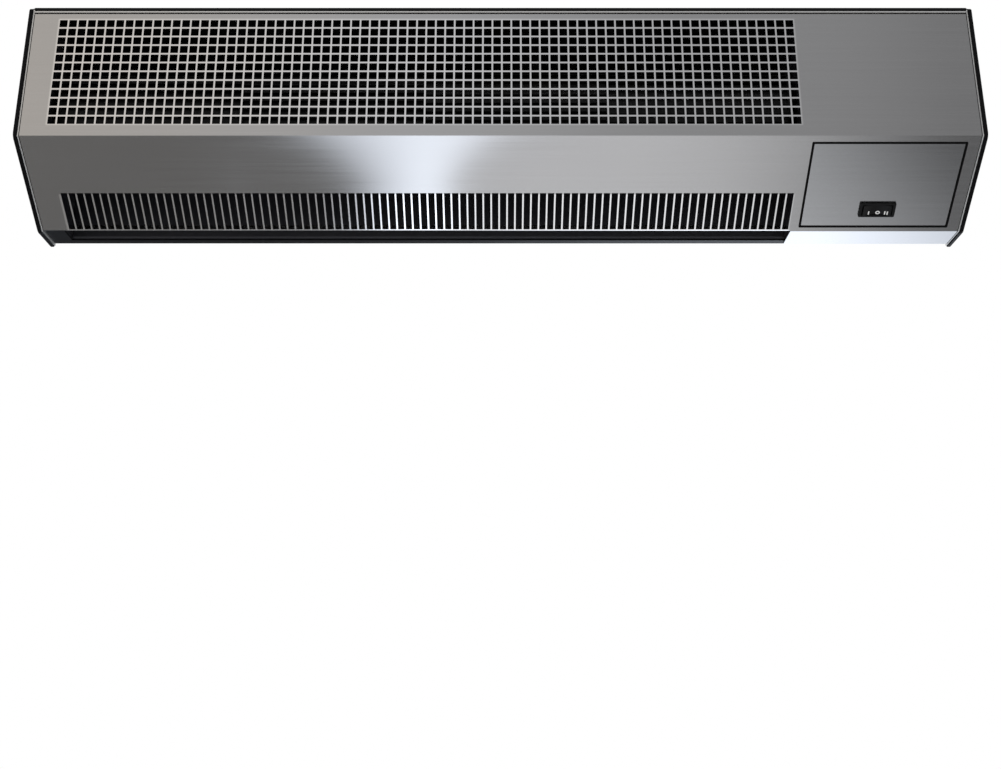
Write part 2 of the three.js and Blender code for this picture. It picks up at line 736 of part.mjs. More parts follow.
// The rocker in its pivot's frame: a shallow dish on top, a keel below, and two trunnions
function rocker() {
  const reach = switchBodyWidth / 2 - switchWall - rockerEndGap;
  const crest = reach - rockerShoulder;
  const lift = rockerPivotDepth;
  const right = [
    point(reach / 2, rockerRise + rockerDish + lift), point(crest, rockerEndRise + lift),
    point(reach, rockerSkirt), point(rockerKeelHalf, -rockerKeelDepth),
  ];
  const left = right.map((p) => point(-p.x, p.y)).reverse();
  const outline = [point(0, rockerRise + lift), ...right, ...left];
  const width = switchBodyHeight - 2 * switchWall - 2 * fit;
  const paddle = drawnOut(outline, width).rotateX(Math.PI / 2).translate(0, width / 2, 0);
  return joined(paddle, alongFace(trunnionRadius, switchBodyHeight - 2 * fit, 0));
}

piece('control_panel', controlPanel(), brushedSteel, lowerFace);
const nut = drawnOut(circle(0, 0, nutRadius, 6), nutHeight, [circle(0, 0, studRadius + fit, holeSides)]);
studs.forEach((place, i) => {
  const mesh = piece(`panel_nut_${i + 1}`, nut.clone(), zincSteel, lowerFace);
  mesh.position.set(place.x, place.y, -insideCover - sheet - fit - nutHeight);
});
piece('switch_housing', switchHousing(), blackPlastic, switchFrame);
piece('rocker', rocker(), blackPlastic, switchFrame).position.z = -rockerPivotDepth;
for (const n of [-1, 0, 1]) {
  const blade = centredBox(
    terminalWidth, terminalThickness, -switchBodyDepth - terminalLength, -terminalTop,
  );
  piece(`switch_terminal_${n + 2}`, blade, brass, switchFrame).position.x = n * terminalSpacing;
}

// ---------------------------------------------------------------- fan chamber: side plates, scroll and tongue
const chamber = { left: chamberLeft + chamberPlate, right: chamberRight - chamberPlate };
const insideFloor = casingBottom + sheet + fit;

function chamberSide(x0, holeRadius, flangeSide) {
  const overReturn = coverDepth + lipReturn + fit;
  const behindReturn = at(lower, lower.length + sheet, overReturn);
  const outline = [
    corner(top, coverTop + sheet + fit, upper, insideCover),
    corner(upper, insideCover, lower, insideCover),
    at(lower, lower.length - 2 * sheet, insideCover),
    at(lower, lower.length - 2 * sheet, overReturn),
    behindReturn,
    point(behindReturn.x, bottomBack.y + insideFloor),
    corner(bottom, insideFloor, back, insideCasing),
    corner(back, insideCasing, top, coverTop + sheet + fit),
  ];
  const x1 = x0 + chamberPlate;
  const plate = alongX(outline, x0, x1, [circle(wheelAxis.x, wheelAxis.y, holeRadius)]);
  const middle = x0 + chamberPlate / 2;
  const flangeTip = middle + flangeSide * (chamberPlate / 2 + chamberFlange);
  const flange = box(
    Math.min(middle, flangeTip), -insideCasing - innerSheet, bottomBack.y + insideFloor + scrollFloorFoot,
    Math.max(middle, flangeTip), -insideCasing, scrollFootUp - scrollFoot,
  );
  return joined(plate, flange);
}

// Points round the wheel between two angles, in degrees, with a gap that changes evenly
function roundWheel(startAngle, endAngle, startGap, endGap, steps) {
  return Array.from({ length: steps + 1 }, (_, i) => {
    const share = i / steps;
    const angle = degrees(startAngle + share * (endAngle - startAngle));
    const reach = wheelRadius + startGap + share * (endGap - startGap);
    return point(wheelAxis.x + reach * Math.cos(angle), wheelAxis.y + reach * Math.sin(angle));
  });
}

function scroll() {
  const footPlane = -insideCasing - innerSheet;
  const floor = bottomBack.y + insideFloor;
  const floorBack = -insideCasing - innerSheet;
  const path = [
    point(footPlane, scrollFootUp + scrollFoot),
    point(footPlane, scrollFootUp),
    ...roundWheel(scrollStartAngle, scrollEndAngle, scrollGap, scrollGapEnd, scrollSteps),
    point(floorBack - scrollFloorFoot, floor),
    point(floorBack, floor),
  ];
  const radii = path.map((_, i) => (i <= 2 || i === path.length - 2 ? bendRadius : 0));
  return alongX(bentSheet(path, innerSheet, radii), chamber.left + fit, chamber.right - fit);
}

function tongue() {
  const heel = slotStart - tongueFromSlots;
  const path = [
    at(lower, heel - tongueFoot, insideCover),
    at(lower, heel, insideCover),
    ...roundWheel(tongueEndAngle, tongueStartAngle, tongueGap, tongueGap, tongueSteps),
  ];
  const radii = path.map((_, i) => (i === 1 ? bendRadius : 0));
  return alongX(bentSheet(path, innerSheet, radii), chamber.left + fit, chamber.right - fit);
}

piece('chamber_plate_left', chamberSide(chamberLeft, bearingGroove + fit, 1), blackPaint);
piece('chamber_plate_right', chamberSide(chamber.right, shaftHole, -1), blackPaint);
piece('scroll', scroll(), blackPaint);
piece('tongue', tongue(), blackPaint);

// ---------------------------------------------------------------- cross-flow wheel
const wheel = { left: chamber.left + wheelSideGap, right: chamber.right - wheelSideGap };

// One blade's section: it curves forward from its inner edge to its outer edge
function bladeSection() {
  const tipRadius = wheelRadius * Math.cos(Math.PI / bladeCount) - fit; // inside the facets of the rings
  const reach = (share) => wheelInnerRadius + fit + share * (tipRadius - wheelInnerRadius - fit);
  const middle = [0, 0.5, 1].map((share) => {
    const angle = bladeSweep * share * share;
    return point(reach(share) * Math.cos(angle), reach(share) * Math.sin(angle));
  });
  const half = [bladeEdge, 1, bladeEdge].map((share) => (share * bladeThickness) / 2);
  const side = (towards) => middle.map((p, i) => (
    p.clone().add(point(bladeSlope, -1).multiplyScalar(towards * half[i]))
  ));
  return [...side(1), ...side(-1).reverse()];
}

function impeller() {
  const section = bladeSection();
  const blades = Array.from({ length: bladeCount }, (_, i) => {
    const turn = (i * 2 * Math.PI) / bladeCount;
    const placed = section.map((p) => p.clone().rotateAround(point(0, 0), turn));
    return alongX(placed, wheel.left + discThickness / 2, wheel.right - discThickness / 2);
  });
  const span = (wheel.right - wheel.left) / (ringCount + 1);
  const rings = Array.from({ length: ringCount }, (_, i) => {
    const middle = wheel.left + (i + 1) * span;
    const half = ringThickness / 2;
    return ring(wheelInnerRadius, wheelRadius, middle - half, middle + half, bladeCount);
  });
  const bore = shaftRadius + fit;
  const discEnd = wheel.left + discThickness;
  const hubEnd = wheel.left + hubLength;
  const leftDisc = turned([
    [bore, wheel.left], [wheelRadius, wheel.left], [wheelRadius, discEnd],
    [hubRadius, discEnd], [hubRadius, hubEnd], [bore, hubEnd],
  ], bladeCount);
  const rightDisc = ring(
    driveRubberGroove + 2 * fit, wheelRadius, wheel.right - discThickness, wheel.right, bladeCount,
  );
  return joined(together(blades), together(rings), leftDisc, rightDisc);
}

function driveHub() {
  const right = wheel.right + driveHubOverhang;
  const left = right - driveHubLength;
  const sleeve = ring(shaftRadius + fit, hubRadius, left, right);
  return cutBy(sleeve, upright(left + grubFromEnd, 0, grubRadius + fit, shaftRadius, hubRadius + 1));
}

function hubScrew() {
  const x = wheel.right + driveHubOverhang - driveHubLength + grubFromEnd;
  return upright(x, 0, grubRadius, shaftRadius + fit, hubRadius);
}

const bearingMiddle = chamberLeft + chamberPlate / 2;
piece('impeller', impeller(), blackPlastic, driveLine);
const bushLeft = bearingMiddle - bushLength / 2;
const bushRight = bearingMiddle + bushLength / 2;
const stub = rod(shaftRadius, bushLeft - shaftEnd, wheel.left + hubLength - shaftEnd);
piece('stub_shaft', stub, shaftSteel, driveLine);
piece('bearing_bush', ring(shaftRadius + fit, hubRadius, bushLeft, bushRight), brass, driveLine);
piece('bearing_rubber', gripping(
  hubRadius + fit, bearingGroove, bearingRubberRadius, chamberLeft, chamber.left, bearingGrip,
), rubber, driveLine);
piece('drive_rubber', gripping(
  hubRadius + fit, driveRubberGroove, driveRubberRadius,
  wheel.right - discThickness, wheel.right, driveRubberGrip,
), rubber, driveLine);
piece('drive_hub', driveHub(), aluminium, driveLine);
piece('hub_screw', hubScrew(), shaftSteel, driveLine);

// ---------------------------------------------------------------- motor and its bracket
const motorLine = new THREE.Group();
motorLine.position.x = motorCentreX;
driveLine.add(motorLine);
const statorHalf = statorLength / 2;
const shieldMouth = statorHalf + fit;
const shieldEnd = shieldMouth + endShieldLength;
const bossEnd = shieldEnd + bossLength;

// The end shield on the motor's right: a cup with a boss
function endShield() {
  const bore = shaftRadius + fit;
  const inside = motorRadius - endShieldWall;
  return turned([
    [bore, bossEnd], [bore, shieldEnd - endShieldWall], [inside - shieldCorner, shieldEnd - endShieldWall],
    [inside, shieldEnd - endShieldWall - shieldCorner], [inside, shieldMouth], [motorRadius, shieldMouth],
    [motorRadius, shieldEnd - shieldCorner], [motorRadius - shieldCorner, shieldEnd], [bossRadius, shieldEnd],
    [bossRadius, bossEnd],
  ]);
}

function motorBracket() {
  const backPlane = -insideCasing;
  const frontOfBase = backPlane - bracketThickness;
  const round = Array.from({ length: bracketArcSteps + 1 }, (_, i) => (
    wheelAxis.clone().add(point(0, bracketArmRadius)).rotateAround(wheelAxis, (i * Math.PI) / bracketArcSteps)
  ));
  const outline = [
    ...round,
    point(backPlane - bracketThickness / 2, wheelAxis.y - bracketArmRadius),
    point(backPlane - bracketThickness / 2, wheelAxis.y + bracketArmRadius),
  ];
  const hole = circle(wheelAxis.x, wheelAxis.y, mountRingRadius + fit);
  const arms = [-1, 1].map((n) => {
    const middle = motorCentreX + n * bracketReach;
    return alongX(outline, middle - bracketThickness / 2, middle + bracketThickness / 2, [hole]);
  });
  const base = box(
    motorCentreX - bracketHalf, frontOfBase, wheelAxis.y - bracketHalfHeight,
    motorCentreX + bracketHalf, backPlane, wheelAxis.y + bracketHalfHeight,
  );
  const holes = bracketScrews.map((s) => (
    fromFront(s.x, s.z, screwRadius + fit, frontOfBase - fit, backPlane + fit)
  ));
  return cutBy(joined(base, together(arms)), together(holes));
}

const hubLeft = wheel.right + driveHubOverhang - driveHubLength;
const motorShaft = rod(shaftRadius, hubLeft + shaftEnd / 2, motorCentreX + bossEnd + shaftEnd);
piece('motor_shaft', motorShaft, shaftSteel, driveLine);
const rotorRadius = statorBore * Math.cos(Math.PI / roundSides) - fit; // turns inside the bore's facets
piece('motor_rotor', ring(shaftRadius + fit, rotorRadius, -statorHalf, statorHalf), lamination, motorLine);
piece('motor_stator', ring(statorBore, motorRadius, -statorHalf, statorHalf), lamination, motorLine);
for (const [side, turn] of [['right', 0], ['left', Math.PI]]) {
  const shield = piece(`motor_end_${side}`, endShield(), aluminium, motorLine);
  const winding = ring(windingInner, windingOuter, shieldMouth, shieldMouth + windingLength);
  const coil = piece(`motor_winding_${side}`, winding, copper, motorLine);
  const rubberRing = ring(
    bossRadius + fit, mountRingRadius, bracketReach - mountRingLength / 2, bracketReach + mountRingLength / 2,
  );
  const cushion = piece(`motor_ring_${side}`, rubberRing, rubber, motorLine);
  for (const mesh of [shield, coil, cushion]) mesh.rotation.z = turn;
}
piece('motor_bracket', motorBracket(), zincSteel);
const bracketScrewLength = headHeight + 2 * fit + bracketThickness + sheet;
bracketScrews.forEach((place, i) => {
  const mesh = piece(`bracket_screw_${i + 1}`, screw(bracketScrewLength), zincSteel);
  mesh.position.set(place.x, -insideCasing - bracketThickness - fit - headHeight, place.z);
  mesh.rotation.z = -Math.PI / 2;
});

// ---------------------------------------------------------------- electrics
function capacitorCase() {
  const { width, depth, height, ear } = capacitor;
  const right = capacitorX + width / 2;
  const corners = rectangle(right - width, bayCentreUp - height / 2, right, bayCentreUp + height / 2);
  const outline = roundedOutline(corners, bends(corners, capacitor.corner), true);
  const body = facingFront(outline, -insideCasing, depth);
  const lug = rectangle(capacitorX, bayCentreUp - ear / 2, right + ear, bayCentreUp + ear / 2);
  const hole = fromFront(capacitorScrew.x, capacitorScrew.z, screwRadius + fit, -2 * insideCasing, 0);
  return cutBy(joined(body, facingFront(lug, -insideCasing, capacitor.earThickness)), hole);
}

const poleSpacing = (terminals.width - terminals.barrier) / terminals.poles;
const terminalsLeft = halfWidth - terminals.fromRight - terminals.width / 2;
const poleX = (pole) => terminalsLeft + terminals.barrier / 2 + (pole + 0.5) * poleSpacing;

function terminalBlock() {
  const { width, height, depth } = terminals;
  const low = bayCentreUp - height / 2;
  const high = bayCentreUp + height / 2;
  const base = box(
    terminalsLeft, -insideCasing - terminals.base, low, terminalsLeft + width, -insideCasing, high,
  );
  const barriers = Array.from({ length: terminals.poles + 1 }, (_, i) => {
    const left = terminalsLeft + i * poleSpacing;
    return box(left, -insideCasing - depth, low, left + terminals.barrier, -insideCasing - innerSheet, high);
  });
  return joined(base, together(barriers));
}

function lead(points) {
  const curve = new THREE.CatmullRomCurve3(points.map((p) => new THREE.Vector3(...p)));
  const section = new THREE.Shape(circle(0, 0, leadRadius, leadSides));
  return new THREE.ExtrudeGeometry(section, { steps: leadSteps, bevelEnabled: false, extrudePath: curve });
}

const grommetPiece = piece('cable_grommet', gripping(
  grommet.bore, grommet.groove, grommet.radius, casingBack, casingBack + sheet, grommet.grip,
), rubber);
grommetPiece.position.set(grommetX, 0, grommet.up);
grommetPiece.rotation.z = -Math.PI / 2;
piece('capacitor', capacitorCase(), palePlastic);
const capacitorScrewLength = headHeight + 2 * fit + capacitor.earThickness + sheet;
const capacitorFixing = piece('capacitor_screw', screw(capacitorScrewLength), zincSteel);
capacitorFixing.position.set(
  capacitorScrew.x, -insideCasing - capacitor.earThickness - fit - headHeight, capacitorScrew.z,
);
capacitorFixing.rotation.z = -Math.PI / 2;
piece('terminal_block', terminalBlock(), palePlastic);

const poleFront = -insideCasing - terminals.base - fit;
const fromSwitch = (gap) => at(lower, switchCentreDown, coverDepth + switchBodyDepth + terminalLength + gap);
const leadStart = fromSwitch(2 * fit);
const leadTurn = fromSwitch(2 * leadRadius);
const motorUnder = wheelAxis.y - motorRadius - 2 * fit;
const leadExit = motorCentreX + leadFromMotor;
const intoPole = (pole, swing) => [
  [poleX(pole) - leadSideways, poleFront - leadStraight - swing, bayCentreUp - leadSag],
  [poleX(pole), poleFront - leadStraight, bayCentreUp],
  [poleX(pole), poleFront, bayCentreUp],
];
piece('switch_lead', lead([
  [switchCentreX, leadStart.x, leadStart.y],
  [switchCentreX, leadTurn.x, leadTurn.y],
  ...intoPole(0, leadSwing / 2),
]), rubber);
piece('motor_lead', lead([
  [leadExit, wheelAxis.x, motorUnder],
  [leadExit, wheelAxis.x, motorUnder - leadDrop],
  ...intoPole(2, leadSwing),
]), rubber);

unit.updateMatrixWorld(true);
export default unit;
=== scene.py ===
"""Dresses the lift-door air curtain: its punched steel cover, black trims, switch panel and inner parts.

Sizes are in millimetres until a mesh is made. They repeat the part's own, apart from the grille, the slots,
the panel's opening, the trims' nose and the laps of the casing's top.
X runs along the unit, Y towards the wall and Z up; the origin is the middle of the wall plate's back.
"""

import json
import math

import bmesh
import bpy
from mathutils import Matrix, Vector


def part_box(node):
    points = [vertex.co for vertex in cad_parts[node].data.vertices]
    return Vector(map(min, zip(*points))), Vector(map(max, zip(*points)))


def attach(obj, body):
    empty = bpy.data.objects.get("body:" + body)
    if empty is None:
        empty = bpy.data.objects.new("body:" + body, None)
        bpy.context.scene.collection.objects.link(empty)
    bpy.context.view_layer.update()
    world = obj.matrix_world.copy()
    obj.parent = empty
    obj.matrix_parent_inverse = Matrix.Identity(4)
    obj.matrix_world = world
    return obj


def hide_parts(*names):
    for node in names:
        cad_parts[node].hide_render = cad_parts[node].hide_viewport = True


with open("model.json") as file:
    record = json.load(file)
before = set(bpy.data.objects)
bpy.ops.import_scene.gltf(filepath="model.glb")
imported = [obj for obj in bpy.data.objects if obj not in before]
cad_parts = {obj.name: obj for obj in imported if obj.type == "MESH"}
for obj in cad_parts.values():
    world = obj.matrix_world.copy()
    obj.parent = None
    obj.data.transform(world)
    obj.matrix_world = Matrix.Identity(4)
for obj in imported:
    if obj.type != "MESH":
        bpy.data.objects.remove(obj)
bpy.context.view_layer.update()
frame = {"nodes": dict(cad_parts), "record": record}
MM = 0.001

# ---------- camera
PHOTO_CAMERA = {"place": (0.0, -1.2767, -0.5256), "pitch_up": 13.711, "lens": 54.297, "sensor": 36.0}

camera_data = bpy.data.cameras.new("camera")
camera_data.lens = PHOTO_CAMERA["lens"]
camera_data.sensor_width = PHOTO_CAMERA["sensor"]
camera = bpy.data.objects.new("camera", camera_data)
camera.location = PHOTO_CAMERA["place"]
camera.rotation_euler = (math.radians(90 + PHOTO_CAMERA["pitch_up"]), 0, 0)
bpy.context.scene.collection.objects.link(camera)
bpy.context.scene.camera = camera
bpy.context.scene.view_settings.view_transform = "Standard"

# ---------- sizes of the section
HALF_WIDTH = 400.0
UNIT_DEPTH = 124.0
FOLD_HEIGHT = -34.6
UPPER_RUN = (16.9, 123.5)
LOWER_RUN = (83.4, -54.3)
FIT = 0.3
SHEET = 1.2
INNER_SHEET = 1.0
CAP_THICKNESS = 3.2
CAP_PROUD = 1.2
SIDE_SEAM = 0.7
HEM_HEIGHT = 2.4
HEM_DEPTH = 16.0


class Edge:
    """A straight edge of the section, in (Y, Z), with the inside on its left."""

    def __init__(self, start, end):
        self.start = start
        self.length = (end - start).length
        self.along = (end - start).normalized()
        self.inward = Vector((-self.along.y, self.along.x))

    def meets(self, depth, other, other_depth):
        """Where this edge, moved in by a depth, meets another one moved in by its own."""
        start = self.start + self.inward * depth
        gap = other.start + other.inward * other_depth - start
        return start + self.along * (gap.dot(other.inward) / self.along.dot(other.inward))


FOLD = Vector((-UNIT_DEPTH, FOLD_HEIGHT))
TOP_FRONT = FOLD + Vector(UPPER_RUN)
LOWER_BEND = FOLD + Vector(LOWER_RUN)
BOTTOM_BACK = Vector((0.0, LOWER_BEND.y))
TOP_BACK = Vector((0.0, TOP_FRONT.y))
UPPER = Edge(TOP_FRONT, FOLD)
LOWER = Edge(FOLD, LOWER_BEND)
BOTTOM = Edge(LOWER_BEND, BOTTOM_BACK)
BACK = Edge(BOTTOM_BACK, TOP_BACK)
TOP = Edge(TOP_BACK, TOP_FRONT)

CAP_INNER = HALF_WIDTH - CAP_THICKNESS
END_PLATE_INNER = CAP_INNER - FIT - INNER_SHEET
CASING_HALF = END_PLATE_INNER - FIT
COVER_HALF = END_PLATE_INNER - SIDE_SEAM
COVER_DEPTH = CAP_PROUD
INSIDE_COVER = COVER_DEPTH + SHEET + FIT
COVER_TOP = HEM_HEIGHT + SHEET + 2 * FIT

COVER_SIDE_FLANGE = 9.0
COVER_TOP_FLANGE = 13.0
COVER_EDGE_RADIUS = 2.4
FOLD_RADIUS = 1.6
LIP_RETURN = 7.0
BAY_UNDERSIDE = 33.0
CASING_FLOOR_DEPTH = 10.0
BAY_START = 250.5

# The fields of holes run between the outer edges of their outermost holes, up the face from the fold line.
GRILLE = {
    "columns": 78, "rows": 12, "bars": (1.35, 1.5),
    "left": -373.0, "right": 247.7, "low": 11.8, "high": 113.2,
}
SLOTS = {
    "columns": 92, "rows": 1, "bars": (1.3, 0.0),
    "left": -372.3, "right": 248.3, "low": -97.018, "high": -58.618,
}
PUNCH_CORNER = 0.35
PUNCH_REACH = 3.0
PANEL = {"left": 257.4, "right": 384.5, "start": 7.6, "end": 94.2, "seam": 1.2}
PANEL_SEAT = (252.9, -98.8, 390.9, -3.3)
STUDS = [(x, y) for x in (255.6, 388.2) for y in (-6.0, -96.118)]
STUD_RADIUS = 1.25
STUD_END = 7.2
STUD_TIP = 0.3


# ---------- places of outlines and heights
def in_face(edge):
    """The frame of a face: X as the unit's, Y up the face from the fold line, Z out of the face."""
    up, out = -edge.along, -edge.inward
    return lambda x, y, z: Vector((x, FOLD.x + y * up.x + z * out.x, FOLD.y + y * up.y + z * out.y))


in_upper_face = in_face(UPPER)
in_lower_face = in_face(LOWER)


def in_section(y, z, x):
    """An outline in (Y, Z), with its height along X."""
    return Vector((x, y, z))


def from_back(x, z, y):
    """An outline in (X, Z), with its height along Y."""
    return Vector((x, y, z))


def from_above(x, y, z):
    """An outline in (X, Y), with its height along Z."""
    return Vector((x, y, z))


def middle_of(node):
    low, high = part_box(node)
    return (low + high) / 2 / MM


# ---------- outlines
BEND_STEPS = 7
CORNER_STEPS = 4
HOLE_SIDES = 24
PIN_SIDES = 16
SHARPEST_MITRE = 0.3


def left_of(direction):
    return Vector((-direction.y, direction.x))


def mitre(before, after):
    """How far a corner moves when the sides before and after it both move left by 1."""
    left, next_left = left_of(before), left_of(after)
    return (left + next_left) / max(SHARPEST_MITRE, 1 + left.dot(next_left))


def rounded(corners, radii, closed=True, steps=BEND_STEPS):
    """A polyline with its corners rounded; each corner has a radius of its own."""
    corners = [Vector(corner) for corner in corners]
    result = []
    last = len(corners) - 1
    for i, (here, radius) in enumerate(zip(corners, radii)):
        if radius <= 0 or (not closed and i in (0, last)):
            result.append(here)
            continue
        incoming = (here - corners[i - 1]).normalized()
        outgoing = (corners[(i + 1) % len(corners)] - here).normalized()
        turn = math.atan2(incoming.x * outgoing.y - incoming.y * outgoing.x, incoming.dot(outgoing))
        tangent = here - incoming * radius * math.tan(abs(turn) / 2)
        centre = tangent + left_of(incoming) * math.copysign(radius, turn)
        for k in range(steps + 1):
            swing = Matrix.Rotation(turn * k / steps, 2)
            result.append(centre + swing @ (tangent - centre))
    return result


def bent_sheet(path, thickness, radii):
    """The closed outline of a bent sheet: its outer face runs along the path, its thickness to the left."""
    inner, inner_radii = [], []
    for i, here in enumerate(path):
        outgoing = (path[i + 1] - here).normalized() if i < len(path) - 1 else None
        incoming = (here - path[i - 1]).normalized() if i else outgoing
        outgoing = outgoing or incoming
        turn = incoming.x * outgoing.y - incoming.y * outgoing.x
        inner.append(here + mitre(incoming, outgoing) * thickness)
        inner_radii.append(max(0.0, radii[i] - math.copysign(thickness, turn)) if radii[i] else 0.0)
    return rounded(path, radii, False) + rounded(inner, inner_radii, False)[::-1]


def rectangle(x0, y0, x1, y1, corner=0.0, steps=CORNER_STEPS):
    return rounded([(x0, y0), (x1, y0), (x1, y1), (x0, y1)], [corner] * 4, steps=steps)


def centred(width, height, corner=0.0, steps=CORNER_STEPS):
    """A rectangle about the middle of its frame."""
    return rectangle(-width / 2, -height / 2, width / 2, height / 2, corner, steps)


def circle(x, y, radius, sides=HOLE_SIDES):
    turns = (2 * math.pi * i / sides for i in range(sides))
    return [Vector((x + radius * math.cos(a), y + radius * math.sin(a))) for a in turns]


def panel_outline(margin, corner):
    """The panel's opening in the lower face, grown by a margin."""
    left, right = PANEL["left"] - margin, PANEL["right"] + margin
    return rectangle(left, -PANEL["end"] - margin, right, -PANEL["start"] + margin, corner)


def shrunk(outline, distance):
    """A counter-clockwise outline moved in by a distance."""
    if not distance:
        return [p.copy() for p in outline]
    result = []
    for i, here in enumerate(outline):
        before = (here - outline[i - 1]).normalized()
        after = (outline[(i + 1) % len(outline)] - here).normalized()
        result.append(here + mitre(before, after) * distance)
    return result


# ---------- solids
# How far a joined solid or a cutting tool passes the face that it meets.
OVERLAP = 1.0
RIM_STEPS = 3
FLAT_WITHIN = math.radians(35.0)


def lofted(rings, capped=True):
    """Points and faces of a skin through rings of points that are all in the same order."""
    count = len(rings[0])
    points = [p for ring in rings for p in ring]
    faces = []
    for start in range(0, (len(rings) - 1) * count, count):
        for i in range(count):
            j = (i + 1) % count
            faces.append((start + i, start + j, start + count + j, start + count + i))
    if capped:
        faces.append(tuple(range(count))[::-1])
        faces.append(tuple(range(len(points) - count, len(points))))
    return points, faces


def rim(radius, steps):
    """A rounded rim from its end face inwards, as (distance from the end, inset) pairs."""
    if not radius:
        return [(0.0, 0.0)]
    turns = (math.pi / 2 * k / steps for k in range(steps + 1))
    return [(radius * (1 - math.cos(a)), radius * (1 - math.sin(a))) for a in turns]


def slab(outline, low, high, place, low_round=0.0, high_round=0.0, steps=RIM_STEPS):
    """An outline given a thickness from low to high, with its two rims rounded over."""
    levels = [(low + distance, inset) for distance, inset in rim(low_round, steps)]
    levels += [(high - distance, inset) for distance, inset in rim(high_round, steps)[::-1]]
    return lofted([[place(p.x, p.y, height) for p in shrunk(outline, inset)] for height, inset in levels])


def turned(profile, sides, place):
    """A closed (radius, height) profile turned about its axis; place puts (x, y, height) into the unit."""
    rings = []
    for i in range(sides):
        angle = 2 * math.pi * i / sides
        rings.append([place(r * math.cos(angle), r * math.sin(angle), h) for r, h in profile])
    return lofted([*rings, rings[0]], capped=False)


def make(name, *solids):
    """One object of several closed solids, each given as points in millimetres and faces."""
    mesh = bpy.data.meshes.new(name)
    work = bmesh.new()
    for points, faces in solids:
        verts = [work.verts.new(p * MM) for p in points]
        for face in faces:
            work.faces.new([verts[i] for i in face])
    bmesh.ops.remove_doubles(work, verts=work.verts, dist=1e-7)
    bmesh.ops.dissolve_degenerate(work, edges=work.edges, dist=1e-8)
    bmesh.ops.recalc_face_normals(work, faces=work.faces)
    work.to_mesh(mesh)
    work.free()
    return in_scene(name, mesh)


def in_scene(name, mesh):
    piece = bpy.data.objects.new(name, mesh)
    bpy.context.scene.collection.objects.link(piece)
    return piece


def settled(piece):
    """Turns a piece's modifiers into plain mesh."""
    bpy.context.view_layer.update()
    ready = piece.evaluated_get(bpy.context.evaluated_depsgraph_get())
    mesh = bpy.data.meshes.new_from_object(ready)
    piece.modifiers.clear()
    piece.data = mesh
    return piece


def combined(piece, other, operation):
    """Joins another solid to a piece or cuts it away, and uses it up."""
    step = piece.modifiers.new("combined", "BOOLEAN")
    step.operation = operation
    step.solver = "MANIFOLD"
    step.object = other
    settled(piece)
    bpy.data.objects.remove(other)
    return piece


def add(piece, *sizes):
    """Joins a slab to a piece."""
    return combined(piece, make("added", slab(*sizes)), "UNION")


def cut(piece, *sizes):
    """Cuts a slab out of a piece."""
    return combined(piece, make("cut", slab(*sizes)), "DIFFERENCE")


def smoothed(piece):
    """Smooth shading over bends and rims, with the flat faces kept flat."""
    piece.data.shade_smooth()
    piece.data.set_sharp_from_angle(angle=FLAT_WITHIN)
    step = piece.modifiers.new("flat faces", "WEIGHTED_NORMAL")
    step.keep_sharp = True
    return settled(piece)


def fitted(piece, body, slot, *nodes, coat=None):
    """Paints a piece with its slot's finish, or with coat where that is given, hangs it on its body and hides
    the CAD nodes it stands for.
    """
    piece.data.materials.clear()
    piece.data.materials.append(FINISHES[coat or slot])
    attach(piece, body)
    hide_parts(*nodes)
    return piece


# ---------- maths on sockets
def operator(operation, swapped=False):
    """A method of Value that adds one Math node."""

    def apply(self, other):
        first, second = (other, self) if swapped else (self, other)
        return self.maths(operation, first, second)

    return apply


class Value:
    """An output socket; Python's operators on it add Math nodes."""

    def __init__(self, recipe, socket):
        self.recipe = recipe
        self.socket = socket

    def maths(self, operation, first, second=0.0, clamp=False):
        settings = {"operation": operation, "use_clamp": clamp}
        return self.recipe.add("ShaderNodeMath", settings, {0: first, 1: second})

    __add__ = __radd__ = operator("ADD")
    __mul__ = __rmul__ = operator("MULTIPLY")
    __sub__, __rsub__ = operator("SUBTRACT"), operator("SUBTRACT", swapped=True)
    __truediv__, __rtruediv__ = operator("DIVIDE"), operator("DIVIDE", swapped=True)
    smaller, larger = operator("MINIMUM"), operator("MAXIMUM")

    def clamped(self):
        return self.maths("ADD", self, 0.0, clamp=True)

    def size(self):
        return self.maths("ABSOLUTE", self)

    def root(self):
        return self.maths("POWER", self, 0.5)

    def waved(self):
        """A sine wave between 0 and 1."""
        return self.maths("SINE", self) * 0.5 + 0.5

    def past(self, threshold, softness):
        """0 below a threshold, 1 above it, over a soft step."""
        return ((self - (threshold - softness / 2)) / softness).clamped()


